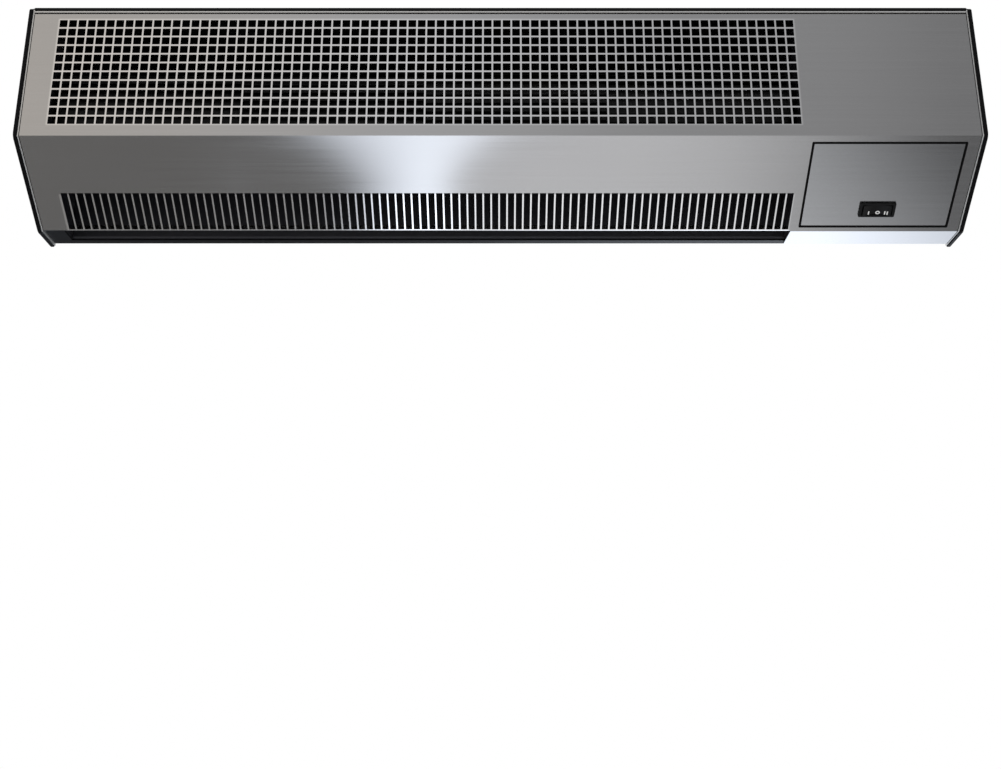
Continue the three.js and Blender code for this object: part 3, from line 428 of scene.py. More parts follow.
class Recipe:
    """The nodes of one finish, of the world or of a shape."""

    def __init__(self, tree):
        self.tree = tree
        tree.nodes.clear()

    def add(self, kind, settings=None, sockets=None, output=0):
        node = self.tree.nodes.new(kind)
        for name, value in (settings or {}).items():
            if name == "stops":
                self.set_stops(node.color_ramp, value)
            else:
                setattr(node, name, value)
        for name, value in (sockets or {}).items():
            if isinstance(value, Value):
                self.tree.links.new(value.socket, node.inputs[name])
            else:
                node.inputs[name].default_value = value
        return Value(self, node.outputs[output]) if node.outputs else node

    def outputs(self, kind, sockets=None):
        """All outputs of a node, by name."""
        node = self.add(kind, {}, sockets).socket.node
        return {output.name: Value(self, output) for output in node.outputs}

    @staticmethod
    def set_stops(ramp, stops):
        while len(ramp.elements) < len(stops):
            ramp.elements.new(0.5)
        for element, (position, colour) in zip(ramp.elements, stops):
            element.position = position
            element.color = (*colour, 1.0)

    def place(self):
        return self.add("ShaderNodeTexCoord", output="Object")

    def axes(self, vector):
        return list(self.outputs("ShaderNodeSeparateXYZ", {0: vector}).values())

    def stretched(self, vector, scale):
        return self.add("ShaderNodeVectorMath", {"operation": "MULTIPLY"}, {0: vector, 1: scale})

    def noise(self, scale, stretch=(1, 1, 1), detail=2.0, roughness=0.5, shift=(0, 0, 0)):
        """Soft noise, with its scale in waves to a metre."""
        moved = self.add("ShaderNodeVectorMath", {"operation": "ADD"}, {0: self.place(), 1: shift})
        vector = self.stretched(moved, [scale * s for s in stretch])
        sockets = {"Vector": vector, "Scale": 1.0, "Detail": detail, "Roughness": roughness}
        return self.add("ShaderNodeTexNoise", {}, sockets)

    def mixed(self, factor, first, second):
        """A colour between two colours, each a socket or three numbers."""
        first, second = (c if isinstance(c, Value) else (*c, 1.0) for c in (first, second))
        return self.add("ShaderNodeMix", {"data_type": "RGBA"}, {0: factor, 6: first, 7: second}, 2)

    def tinted(self, colour, amount):
        """A colour made lighter or darker by a grey amount."""
        grey = self.add("ShaderNodeCombineXYZ", {}, {0: amount, 1: amount, 2: amount})
        return self.stretched(colour, grey)

    def bump(self, height, distance, strength, on_top_of=None):
        """A bump with its distance in metres, alone or on top of another one."""
        sockets = {"Height": height, "Distance": distance, "Strength": strength}
        if on_top_of:
            sockets["Normal"] = on_top_of
        return self.add("ShaderNodeBump", {}, sockets)


class Shape(Recipe):
    """The nodes of a geometry tree, with named inputs."""

    def __init__(self, name, inputs, result):
        tree = bpy.data.node_groups.new(name, "GeometryNodeTree")
        for label, kind in inputs.items():
            tree.interface.new_socket(label, in_out="INPUT", socket_type="NodeSocket" + kind)
        tree.interface.new_socket(result, in_out="OUTPUT", socket_type="NodeSocketGeometry")
        super().__init__(tree)
        self.given = self.outputs("NodeGroupInput")

    def tool(self, name):
        """The geometry of an object that is one of the inputs."""
        return self.add("GeometryNodeObjectInfo", {}, {"Object": self.given[name]}, "Geometry")

    def rotation(self, angles):
        return self.add("FunctionNodeEulerToRotation", {}, {0: angles})

    def on_points(self, points, tool, rotation=None):
        """A tool on each point."""
        sockets = {"Points": points, "Instance": tool}
        if rotation:
            sockets["Rotation"] = rotation
        return self.add("GeometryNodeInstanceOnPoints", {}, sockets)

    def moved(self, geometry, **change):
        return self.add("GeometryNodeTransform", {}, {"Geometry": geometry, **change})

    def joined(self, *parts):
        join = self.add("GeometryNodeJoinGeometry")
        for part in parts:
            self.tree.links.new(part.socket, join.socket.node.inputs[0])
        return join

    def real(self, instances):
        return self.add("GeometryNodeRealizeInstances", {}, {"Geometry": instances})

    def ends_in(self, geometry):
        """Gives the result its finish and sends it out."""
        sockets = {"Geometry": geometry, "Material": self.given["Finish"]}
        self.add("NodeGroupOutput", {}, {0: self.add("GeometryNodeSetMaterial", {}, sockets)})

    def applied(self, piece, inputs):
        """Runs the tree on a piece and keeps its result as plain mesh; tools among the inputs are used up."""
        step = piece.modifiers.new(self.tree.name, "NODES")
        step.node_group = self.tree
        sockets = self.tree.interface.items_tree
        names = {item.name: item.identifier for item in sockets if item.in_out == "INPUT"}
        for name, value in inputs.items():
            step[names[name]] = value
        settled(piece)
        for value in inputs.values():
            if isinstance(value, bpy.types.Object):
                bpy.data.objects.remove(value)
        return piece


# ---------- finishes
# The bow's places are in millimetres and its rise is a slope; the twist is a change of slope to a metre.
BOW = {"x": -72.0, "half": 150.0, "down": 25.0, "rise": 0.1}
PANEL_TWIST = 0.45
# Waves of the wound wire and of the laminations, in radians to a metre.
WIRE_WAVE = 9000.0
LAMINATION_WAVE = 12566.0

FINISHES = {}


def finish(slot, colour, surface, *amounts, metallic=0.0, specular=0.5, anisotropic=0.0):
    """Keeps a new material: surface adds the nodes of what varies, and constants sit on the shader itself."""
    material = FINISHES[slot] = bpy.data.materials.new(slot.replace("_", " "))
    material.use_nodes = True
    recipe = Recipe(material.node_tree)
    tone, roughness, normal = surface(recipe, *amounts)
    sockets = {
        "Base Color": recipe.tinted(colour, tone), "Roughness": roughness, "Normal": normal,
        "Metallic": metallic, "Specular IOR Level": specular, "Anisotropic": anisotropic,
    }
    if anisotropic:
        sockets["Tangent"] = recipe.add("ShaderNodeTangent", {"direction_type": "RADIAL", "axis": "X"})
    shader = recipe.add("ShaderNodeBsdfPrincipled", {}, sockets)
    recipe.add("ShaderNodeOutputMaterial", {}, {"Surface": shader})


def between(value, low, high, softness):
    """1 between two millimetre values, 0 outside them, over soft steps."""
    return value.past(low * MM, softness * MM) * (1.0 - value.past(high * MM, softness * MM))


def painted_land_highlight(r):
    """A painted highlight: how much brighter the sheet is drawn, 1 on its plain parts and more on the narrow
    lands between the holes.
    """
    x, _, z = r.axes(r.place())
    along = between(x, GRILLE["left"] - 1, GRILLE["right"] + 1, 1.5)
    low, high = (in_upper_face(0, GRILLE[side], 0).z for side in ("low", "high"))
    grille = along * between(z, low - 1, high + 1, 1.5)
    low, high = (in_lower_face(0, SLOTS[side], 0).z for side in ("low", "high"))
    slots = along * between(z, low - 0.3, high + 0.3, 0.6)
    return 1.0 + grille * 0.6 + slots * 0.9


def lower_bow(r):
    """Height of the shallow bow that punching leaves in the lower face, growing downwards from the fold."""
    x, _, z = r.axes(r.place())
    share = ((x - BOW["x"] * MM) / (BOW["half"] * MM)).size().smaller(1.0)
    hill = 1.0 - share * share
    down = (FOLD.y * MM - z).larger(0.0).smaller(BOW["down"] * MM)
    return hill * hill * down * BOW["rise"]


def panel_twist(r):
    """Height of the switch panel's slight twist, nothing along its upper edge and most at its lower one."""
    x, _, z = r.axes(r.place())
    return (x - (PANEL["left"] + PANEL["right"]) / 2 * MM) * (FOLD.y * MM - z).larger(0.0) * PANEL_TWIST


# Each surface below gives its tone, its roughness and its normal.
def brushed(r, roughness, lands=None, bow=None):
    """Sheet steel brushed along X: fine streaks, some broad ones, and a slow drift of tone."""
    fine = r.noise(1500, (0.006, 1, 1), roughness=0.6)
    broad = r.noise(260, (0.02, 1, 1), 3.0, 0.6, (0.3, 0, 0))
    drift = r.noise(6, (0.7, 1, 1), shift=(0, 0.7, 0))
    streaks = fine * 0.7 + broad * 0.3
    tone = 1.0 + (streaks - 0.5) * 0.13 + (drift - 0.5) * 0.08
    # lands, when given, multiplies the tone by a painted highlight on the lands between the holes.
    if lands:
        tone = tone * lands(r)
    normal = r.bump(streaks, 0.00002, 0.25)
    if bow:
        normal = r.bump(bow(r), 1.0, 1.0, normal)
    return tone, roughness + (streaks - 0.5) * 0.12 + (drift - 0.5) * 0.05, normal


def galvanised(r):
    """Zinc-plated sheet with a faint spangle."""
    crystals = {"Vector": r.stretched(r.place(), (160, 160, 160))}
    facet = r.axes(r.add("ShaderNodeTexVoronoi", {"feature": "F1"}, crystals, "Color"))[0]
    cloud = r.noise(25, detail=3.0)
    grain = r.noise(900)
    tone = 0.9 + facet * 0.14 + (cloud - 0.5) * 0.16
    roughness = 0.36 + facet * 0.12 + (cloud - 0.5) * 0.1
    return tone, roughness, r.bump(grain * 0.5 + cloud * 0.5, 0.00002, 0.5)


def powder_coat(r):
    """Baked powder paint: a fine orange peel, with a little dust in it."""
    peel = r.noise(1100, roughness=0.55)
    cloud = r.noise(14, detail=3.0)
    roughness = 0.38 + (peel - 0.5) * 0.16 + (cloud - 0.5) * 0.1
    return 0.85 + cloud * 0.3, roughness, r.bump(peel, 0.00004, 0.6)


def moulded(r, roughness):
    """Moulded plastic with a spark-eroded grain."""
    pits = r.noise(1800, roughness=0.6)
    cloud = r.noise(30)
    roughness = roughness + (pits - 0.5) * 0.18 + (cloud - 0.5) * 0.06
    return 0.9 + cloud * 0.2, roughness, r.bump(pits, 0.00003, 0.5)


def soft_rubber(r):
    """Dull rubber with a faint bloom."""
    skin = r.noise(700, detail=3.0)
    bloom = r.noise(60, detail=3.0, shift=(0.2, 0, 0))
    return 0.8 + bloom * 0.5, 0.68 + (bloom - 0.5) * 0.2, r.bump(skin, 0.00005, 0.5)


def machined(r, roughness):
    """Metal turned about X: fine rings, and a slow drift of tone."""
    rings = r.noise(2600, (1, 0.02, 0.02))
    drift = r.noise(40)
    tone = 0.9 + rings * 0.14 + (drift - 0.5) * 0.08
    return tone, roughness + (rings - 0.5) * 0.12, r.bump(rings, 0.00002, 0.5)


def cast(r):
    """Die-cast metal with a grainy skin."""
    skin = r.noise(650, detail=4.0, roughness=0.6)
    stain = r.noise(35, detail=3.0)
    tone = 0.82 + stain * 0.3 + (skin - 0.5) * 0.1
    return tone, 0.42 + (skin - 0.5) * 0.2, r.bump(skin, 0.00008, 0.6)


def wound(r):
    """Varnished copper wire, wound round the motor's axis."""
    wander = r.noise(180)
    strand = (r.axes(r.place())[0] * WIRE_WAVE + wander * 9.0).waved()
    tone = 0.55 + strand * 0.55 + (wander - 0.5) * 0.3
    return tone, 0.36 + wander * 0.15, r.bump(strand, 0.0002, 0.7)


def stacked(r):
    """A stack of half-millimetre laminations under dull varnish."""
    plates = (r.axes(r.place())[0] * LAMINATION_WAVE).waved()
    stain = r.noise(60, detail=3.0)
    tone = 0.6 + plates * 0.4 + (stain - 0.5) * 0.4
    return tone, 0.45 + stain * 0.15, r.bump(plates, 0.00006, 0.6)


def printed(r):
    """Pad-printed ink, a little thin in places."""
    cover = r.noise(900)
    return 0.92 + cover * 0.1, 0.45 + cover * 0.1, r.bump(cover, 0.00002, 0.4)


STEEL = {"metallic": 1.0, "anisotropic": 0.8}
# The cover's tone carries a painted highlight on the lands of its grille and slots.
finish("cover_steel", (0.40, 0.39, 0.38), brushed, 0.17, painted_land_highlight, lower_bow, **STEEL)
finish("panel_steel", (0.353, 0.350, 0.347), brushed, 0.17, None, panel_twist, **STEEL)
finish("trim_steel", (0.62, 0.61, 0.60), brushed, 0.28, **STEEL)
finish("zinc_steel", (0.42, 0.43, 0.44), galvanised, metallic=0.9)
finish("black_paint", (0.0075, 0.0075, 0.008), powder_coat, specular=0.06)
finish("black_trim", (0.005, 0.005, 0.0055), moulded, 0.42, specular=0.03)
finish("switch_black", (0.0045, 0.0045, 0.0045), moulded, 0.34, specular=0.12)
finish("wheel_plastic", (0.006, 0.006, 0.006), moulded, 0.4, specular=0.12)
finish("pale_plastic", (0.68, 0.68, 0.64), moulded, 0.45)
finish("rubber", (0.016, 0.016, 0.016), soft_rubber, specular=0.3)
finish("seal_foam", (0.003, 0.003, 0.003), soft_rubber, specular=0.04)
finish("shaft_steel", (0.56, 0.57, 0.58), machined, 0.24, metallic=1.0)
finish("brass", (0.52, 0.36, 0.13), machined, 0.3, metallic=1.0)
finish("aluminium", (0.60, 0.61, 0.62), cast, metallic=0.95)
finish("copper", (0.45, 0.13, 0.045), wound, metallic=0.7)
finish("lamination", (0.16, 0.165, 0.17), stacked, metallic=0.6)
finish("white_ink", (0.86, 0.86, 0.84), printed)

# ---------- front cover
WINDOW_CORNER = 0.8

cover_top_corner = TOP.meets(COVER_TOP, UPPER, COVER_DEPTH)
COVER_LINE = [
    cover_top_corner + Vector((COVER_TOP_FLANGE, 0)),
    cover_top_corner,
    UPPER.meets(COVER_DEPTH, LOWER, COVER_DEPTH),
    LOWER.meets(COVER_DEPTH, BOTTOM, COVER_DEPTH),
]


def punched_rows():
    """Geometry nodes: a tool set on a grid of places across a tilted face, and cut out of the sheet."""
    shape = Shape("punched rows", {
        "Sheet": "Geometry", "Punch": "Object", "Columns": "Int", "Rows": "Int", "Across": "Float",
        "Up": "Float", "Middle": "Vector", "Tilt": "Vector", "Finish": "Material",
    }, "Sheet")
    given = shape.given
    places = shape.add("GeometryNodeMeshGrid", {}, {
        "Size X": given["Across"], "Size Y": given["Up"],
        "Vertices X": given["Columns"], "Vertices Y": given["Rows"],
    })
    laid = shape.moved(places, Translation=given["Middle"], Rotation=given["Tilt"])
    tools = shape.on_points(laid, shape.tool("Punch"), shape.rotation(given["Tilt"]))
    settings = {"solver": "MANIFOLD", "operation": "DIFFERENCE"}
    sockets = {"Mesh 1": given["Sheet"], "Mesh 2": shape.real(tools)}
    shape.ends_in(shape.add("GeometryNodeMeshBoolean", settings, sockets))
    return shape


def punched(piece, rows, edge, field):
    """Punches a field of holes through a face of the cover."""
    across, up = field["right"] - field["left"], field["high"] - field["low"]
    width = (across + field["bars"][0]) / field["columns"] - field["bars"][0]
    height = (up + field["bars"][1]) / field["rows"] - field["bars"][1]
    tool = make("punch", slab(centred(width, height, PUNCH_CORNER, 2), -PUNCH_REACH, PUNCH_REACH, from_above))
    x, y = (field["left"] + field["right"]) / 2, (field["low"] + field["high"]) / 2
    rows.applied(piece, {
        "Punch": tool, "Columns": field["columns"], "Rows": field["rows"],
        "Across": (across - width) * MM, "Up": (up - height) * MM,
        "Middle": in_face(edge)(x, y, -COVER_DEPTH - SHEET / 2) * MM,
        "Tilt": Vector((math.atan2(-edge.along.y, -edge.along.x), 0, 0)), "Finish": FINISHES["cover_steel"],
    })


def front_cover():
    end = COVER_LINE[-1]
    radii = [0, COVER_EDGE_RADIUS, FOLD_RADIUS, FOLD_RADIUS, 0]
    fan_line = [*COVER_LINE, end + LOWER.inward * LIP_RETURN]
    bay_line = [*COVER_LINE, end + Vector((BAY_UNDERSIDE, 0))]
    bay_flange_line = [*COVER_LINE, end + Vector((BAY_UNDERSIDE - CASING_FLOOR_DEPTH, 0))]

    def side_flange(line):
        middle = bent_sheet(line, SHEET / 2, [0] * len(line))[len(line):][::-1]
        return bent_sheet(middle, COVER_SIDE_FLANGE - SHEET / 2, [0] * len(middle))

    fan_end, bay_end = (bent_sheet(line, SHEET, radii) for line in (fan_line, bay_line))
    cover = make("punched_cover", slab(fan_end, -COVER_HALF, BAY_START, in_section))
    add(cover, bay_end, BAY_START, COVER_HALF, in_section)
    add(cover, side_flange(COVER_LINE), -COVER_HALF, -COVER_HALF + SHEET, in_section)
    add(cover, side_flange(bay_flange_line), COVER_HALF - SHEET, COVER_HALF, in_section)
    cut(cover, panel_outline(0.0, WINDOW_CORNER), -COVER_DEPTH - 2 * SHEET, SHEET, in_lower_face)
    rows = punched_rows()
    punched(cover, rows, UPPER, GRILLE)
    punched(cover, rows, LOWER, SLOTS)
    for x, y in STUDS:
        shank = circle(x, y, STUD_RADIUS, PIN_SIDES)
        add(cover, shank, -STUD_END, -COVER_DEPTH - SHEET / 2, in_lower_face, STUD_TIP)
    return fitted(smoothed(cover), "housing", "cover_steel", "front_cover")


# ---------- end trims
TRIM_RADII = [3, 6.8, 9, 3, 3]
TRIM_RIMS = (0.25, 0.9)
SCREW_HEAD_RADIUS = 3.2
SCREW_RECESS = {"play": 0.4, "depth": 1.7}
END_SCREWS = [Vector((-41.0, BOTTOM_BACK.y + share * BACK.length)) for share in (0.3, 0.8)]


def end_trim(side, end):
    """A black trim; its rim is sharper at the unit's side than outside."""
    outline = rounded([TOP_FRONT, FOLD, LOWER_BEND, BOTTOM_BACK, TOP_BACK], TRIM_RADII)
    low, high = sorted((side * CAP_INNER, side * HALF_WIDTH))
    rims = TRIM_RIMS if side > 0 else TRIM_RIMS[::-1]
    trim = make(f"end_trim_{end}", slab(outline, low, high, in_section, *rims))
    low, high = sorted((side * (HALF_WIDTH - SCREW_RECESS["depth"]), side * (HALF_WIDTH + OVERLAP)))
    for place in END_SCREWS:
        cut(trim, circle(place.x, place.y, SCREW_HEAD_RADIUS + SCREW_RECESS["play"]), low, high, in_section)
    return fitted(smoothed(trim), "housing", "black_trim", f"end_cap_{end}")


# ---------- rear casing, wall plate and inlet
CASING_BACK = 2.3
INSIDE_CASING = CASING_BACK + SHEET + FIT
CASING_BEND = 2.0
HEM_ROUND = 1.1
LAP_FIT = 0.03
APRON_START = 3.0
APRON_END = -HALF_WIDTH + 22.0
HOOKS = {"spacing": 360.0, "width": 22.0, "up": 24.0, "rise": 9.0, "slot": 12.0, "slot_corner": 1.5}
HOOK_RADII = [0, 0, 0.4, 0.5, 0.5, 2.4]
PLATE = {
    "width": 520.0, "height": 90.0, "thickness": 2.0, "inset": 14.0, "hole": 3.0, "corner": 8.0, "rim": 0.3,
}
SCREW_HOLE = 1.9
BACK_SCREWS = ["bracket_screw_1", "bracket_screw_2", "bracket_screw_3", "bracket_screw_4", "capacitor_screw"]
GROMMET = {"radius": 9.0, "groove": 6.5, "bore": 4.5, "grip": 2.0, "sides": 32}
GROMMET_RADII = [0.9, 0.8, 0.5, 0, 0, 0.5, 0.8, 0.9]


def rear_casing():
    floor = BOTTOM_BACK.y + INSIDE_COVER
    path = [
        Vector((-CASING_BACK - CASING_FLOOR_DEPTH, floor)), Vector((-CASING_BACK, floor)),
        Vector((-CASING_BACK, TOP_BACK.y)), TOP_FRONT,
    ]
    shell = bent_sheet(path, SHEET, [0, CASING_BEND, CASING_BEND, 0])
    casing = make("casing", slab(shell, -CASING_HALF, CASING_HALF, in_section))
    front, top = TOP_FRONT
    hem = rectangle(front, top - HEM_HEIGHT, front + HEM_DEPTH, top)
    hem = rounded(hem, [HEM_ROUND, 0, 0, HEM_ROUND], steps=CORNER_STEPS)
    add(casing, hem, -CASING_HALF, CASING_HALF, in_section)
    apron = rectangle(LOWER_BEND.x + APRON_START, floor, path[0].x + OVERLAP, floor + SHEET)
    add(casing, apron, -CASING_HALF, APRON_END, in_section)
    lap = rectangle(front + HEM_ROUND, top - SHEET + LAP_FIT, -CASING_BACK - CASING_BEND, top - LAP_FIT)
    slot_top = HOOKS["up"] + PLATE["thickness"] + FIT
    for side in (-1, 1):
        low, high = sorted((side * (CASING_HALF - OVERLAP), side * (CAP_INNER - FIT / 2)))
        add(casing, lap, low, high, in_section)
        middle, reach = side * HOOKS["spacing"] / 2, HOOKS["width"] / 2 + FIT
        slot = rectangle(
            middle - reach, slot_top - HOOKS["slot"], middle + reach, slot_top, HOOKS["slot_corner"],
        )
        cut(casing, slot, -INSIDE_CASING, 0, from_back)
    for place in map(middle_of, BACK_SCREWS):
        cut(casing, circle(place.x, place.z, SCREW_HOLE), -INSIDE_CASING, 0, from_back)
    for i in (1, 2, 3):
        place = middle_of(f"cover_screw_{i}")
        hole = circle(place.x, place.y, SCREW_HOLE)
        cut(casing, hole, top - 2 * HEM_HEIGHT, top + OVERLAP, from_above)
    place = middle_of("cable_grommet")
    cut(casing, circle(place.x, place.z, GROMMET["groove"] + FIT), -INSIDE_CASING, 0, from_back)
    return fitted(smoothed(casing), "housing", "black_paint", "rear_casing")


def wall_plate():
    """The plate on the wall, with its two hooks and four screw holes."""
    thickness, up = PLATE["thickness"], HOOKS["up"]
    outline = centred(PLATE["width"], PLATE["height"], PLATE["corner"], 6)
    plate = make("hanging_plate", slab(outline, -thickness, 0, from_back, PLATE["rim"], PLATE["rim"]))
    over, end, tip = up + thickness, up + thickness + HOOKS["rise"], -INSIDE_CASING - thickness
    hook = rounded([
        (-thickness / 2, up), (-thickness / 2, over), (-INSIDE_CASING, over), (-INSIDE_CASING, end),
        (tip, end), (tip, up),
    ], HOOK_RADII, steps=5)
    for side in (-1, 1):
        middle, reach = side * HOOKS["spacing"] / 2, HOOKS["width"] / 2
        add(plate, hook, middle - reach, middle + reach, in_section)
    for corner in centred(PLATE["width"] - 2 * PLATE["inset"], PLATE["height"] - 2 * PLATE["inset"]):
        hole = circle(corner.x, corner.y, PLATE["hole"])
        cut(plate, hole, -thickness - OVERLAP, OVERLAP, from_back)
    return fitted(smoothed(plate), "housing", "zinc_steel", "wall_plate")


def inlet_grommet():
    """The rubber ring in the casing's back that the mains lead would pass through."""
    low, high = (corner.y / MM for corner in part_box("cable_grommet"))
    bore, groove, radius, grip = (GROMMET[size] for size in ("bore", "groove", "radius", "grip"))
    groove_low, groove_high = low + grip - FIT, high - grip + FIT
    profile = rounded([
        (bore, low), (radius, low), (radius, groove_low), (groove, groove_low),
        (groove, groove_high), (radius, groove_high), (radius, high), (bore, high),
    ], GROMMET_RADII, steps=CORNER_STEPS)
    place = middle_of("cable_grommet")

    def round_inlet(x, z, y):
        return Vector((place.x + x, y, place.z + z))

    ring = make("inlet_grommet", turned(profile, GROMMET["sides"], round_inlet))
    return fitted(smoothed(ring), "housing", "rubber", "cable_grommet")


# ---------- fan wheel
WHEEL = {"radius": 42.0, "inner": 32.5, "ring": 1.6, "disc": 2.0, "hub": 9.0, "hub_length": 12.0, "bore": 4.3}
WHEEL_SIDES = 72
BLADES = 36
SEGMENTS = 4
BLADE = {"thickness": 1.1, "sweep": 0.24, "steps": 4, "thin_end": 0.3, "swell": 0.8}
SEGMENT_TWIST = math.radians(2.5)
DRIVE_HOLE = 14.6
LEFT_DISC_RADII = [0.3, 0.5, 0.3, 1.2, 0.6, 0.3]
RIGHT_DISC_RADII = [0.3, 0.3, 0.5, 0.3]


def blade_tool(length):
    """One blade, curved forwards from its inner edge to its tip and thinned towards both."""
    inner, tip = WHEEL["inner"] + FIT, WHEEL["radius"] - FIT
    sides = {1: [], -1: []}
    for i in range(BLADE["steps"] + 1):
        share = i / BLADE["steps"]
        radius, angle = inner + share * (tip - inner), BLADE["sweep"] * share ** 2
        half = BLADE["thickness"] * (BLADE["thin_end"] + BLADE["swell"] * share * (1 - share))
        across = Vector((-math.sin(angle), math.cos(angle)))
        middle = Vector((radius * math.cos(angle), radius * math.sin(angle)))
        for side in sides:
            sides[side].append(middle + across * half * side)
    return make("blade", slab(sides[-1] + sides[1][::-1], 0, length, in_section))


def bladed_wheel():
    """Geometry nodes: rows of blades round an axis, a ring between each two rows, and the end discs."""
    shape = Shape("bladed wheel", {
        "Ends": "Geometry", "Blade": "Object", "Ring": "Object", "Blades": "Int", "Step": "Float",
        "Segments": "Int", "Pitch": "Vector", "First Row": "Vector", "First Ring": "Vector", "Twist": "Float",
        "Axis": "Vector", "Finish": "Material",
    }, "Wheel")
    given = shape.given

    def turned_by(step):
        """A rotation about X of the point's own number times a step."""
        angle = shape.add("GeometryNodeInputIndex") * given[step]
        return shape.rotation(shape.add("ShaderNodeCombineXYZ", {}, {0: angle}))

    def line(count, start):
        sockets = {"Count": count, "Start Location": given[start], "Offset": given["Pitch"]}
        return shape.add("GeometryNodeMeshLine", {}, sockets)

    middle = shape.add("GeometryNodePoints", {}, {"Count": given["Blades"]})
    row = shape.on_points(middle, shape.tool("Blade"), turned_by("Step"))
    rows = shape.on_points(line(given["Segments"], "First Row"), row, turned_by("Twist"))
    rings = shape.on_points(line(given["Segments"] - 1, "First Ring"), shape.tool("Ring"))
    moved = shape.moved(shape.joined(rows, rings), Translation=given["Axis"])
    shape.ends_in(shape.real(shape.joined(given["Ends"], moved)))
    return shape


def fan_wheel():
    low, high = (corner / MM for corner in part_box("impeller"))
    left, right = low.x, high.x
    axis = (low + high) / 2
    axis.x = 0
    pitch = (right - left) / SEGMENTS
    radius, bore, disc, hub = WHEEL["radius"], WHEEL["bore"], WHEEL["disc"], WHEEL["hub"]
    hub_end = left + WHEEL["hub_length"]

    def round_axis(y, z, x):
        return Vector((x, axis.y + y, axis.z + z))

    left_disc = rounded([
        (bore, left), (radius, left), (radius, left + disc),
        (hub, left + disc), (hub, hub_end), (bore, hub_end),
    ], LEFT_DISC_RADII, steps=3)
    right_disc = rounded(rectangle(DRIVE_HOLE, right - disc, radius, right), RIGHT_DISC_RADII, steps=2)
    discs = (turned(disc_line, WHEEL_SIDES, round_axis) for disc_line in (left_disc, right_disc))
    wheel = make("fan_wheel", *discs)
    half = WHEEL["ring"] / 2
    ring_line = rectangle(WHEEL["inner"], -half, radius, half)
    bladed_wheel().applied(wheel, {
        "Blade": blade_tool(pitch), "Ring": make("ring", turned(ring_line, WHEEL_SIDES, in_section)),
        "Blades": BLADES, "Step": 2 * math.pi / BLADES, "Segments": SEGMENTS, "Twist": SEGMENT_TWIST,
        "Pitch": Vector((pitch * MM, 0, 0)), "First Row": Vector((left * MM, 0, 0)),
        "First Ring": Vector(((left + pitch) * MM, 0, 0)), "Axis": axis * MM,
        "Finish": FINISHES["wheel_plastic"],
    })
    return fitted(smoothed(wheel), "fan_rotor", "black_trim", "impeller", coat="wheel_plastic")


# ---------- control panel
SWITCH_X = 321.3
SWITCH_Y = -75.418
BEZEL = {"width": 31.0, "height": 14.7, "thickness": 1.6, "corner": 1.3, "rim": 0.6}
SWITCH = {"width": 27.8, "height": 12.4, "depth": 19.0, "wall": 0.9, "corner": 0.4, "rim": 0.6, "lap": 0.5}
PANEL_CORNER = 0.6
PANEL_RIM = 0.35
SEAL = {"lip": 0.6, "proud": 0.45, "corner": 1.0, "rim": 0.25, "gap": 0.03, "play": 0.05, "lap": 0.1}


def on_panel(x, y, z):
    """The switch's frame, on the panel's surface."""
    return in_lower_face(SWITCH_X + x, SWITCH_Y + y, z - COVER_DEPTH)


def control_panel():
    """The steel panel: a shallow tray with an opening for the switch."""
    back, seam = INSIDE_COVER + SHEET, PANEL["seam"]
    face = panel_outline(-seam, PANEL_CORNER)
    panel = make("switch_panel", slab(face, -back, -COVER_DEPTH, in_lower_face, 0.0, PANEL_RIM))
    cut(panel, panel_outline(-seam - SHEET, 0.0), -back - OVERLAP, -COVER_DEPTH - SHEET, in_lower_face)
    cut(panel, centred(SWITCH["width"] + 2 * FIT, SWITCH["height"] + 2 * FIT), -back, OVERLAP, on_panel)
    return fitted(smoothed(panel), "housing", "panel_steel", "control_panel")


def panel_seal():
    """The rubber seal in the panel's gap, with a bead on the steel."""
    back, surface = INSIDE_COVER + SHEET, SEAL["gap"] - COVER_DEPTH
    seal = make("panel_seal", slab(rectangle(*PANEL_SEAT), -back, -INSIDE_COVER, in_lower_face))
    stem = shrunk(panel_outline(0.0, WINDOW_CORNER), SEAL["play"])
    add(seal, stem, -back, surface + SEAL["lap"], in_lower_face)
    bead = panel_outline(SEAL["lip"], SEAL["corner"])
    add(seal, bead, surface, surface + SEAL["proud"], in_lower_face, 0.0, SEAL["rim"])
    inside = shrunk(panel_outline(-PANEL["seam"], PANEL_CORNER), -SEAL["play"])
    cut(seal, inside, -back - OVERLAP, 0, in_lower_face)
    for x, y in STUDS:
        hole = circle(x, y, STUD_RADIUS + FIT, PIN_SIDES)
        cut(seal, hole, -back - OVERLAP, FIT - INSIDE_COVER, in_lower_face)
    return fitted(smoothed(seal), "housing", "rubber", "control_panel", coat="seal_foam")


# ---------- rocker switch
PIVOT = {"depth": 2.2, "radius": 1.2}
ROCKER = {"crest": 11.7, "middle": 1.1, "rise": 1.6, "half_width": 5.0, "rim": 0.45, "top_steps": 28}
ROCKER_END = [(-12.25, 2.0), (-12.5, 1.2), (-12.5, -1.3), (-4.0, -7.0)]
MARK = {"height": 3.5, "stroke": 1.0, "y": -2.7, "corner": 0.12, "ring_half": 2.0, "sunk": 0.2, "proud": 0.05}
MARKS_AT = {"I": -7.0, "O": 0.8, "II": (6.8, 8.9)}


def switch_body():
    bezel = centred(BEZEL["width"], BEZEL["height"], BEZEL["corner"], 5)
    top = FIT + BEZEL["thickness"]
    body = make("switch_frame", slab(bezel, FIT, top, on_panel, 0.0, BEZEL["rim"], 4))
    width, height, depth, wall = (SWITCH[size] for size in ("width", "height", "depth", "wall"))
    add(body, centred(width, height), -depth, FIT + SWITCH["lap"], on_panel, SWITCH["rim"])
    well = centred(width - 2 * wall, height - 2 * wall, SWITCH["corner"], 3)
    cut(body, well, -depth / 2, top + OVERLAP, on_panel)
    return fitted(smoothed(body), "housing", "switch_black", "switch_housing")


def rocker_top(x):
    """Height of the rocker's dished top above the panel."""
    return ROCKER["middle"] + ROCKER["rise"] * (x / ROCKER["crest"]) ** 2


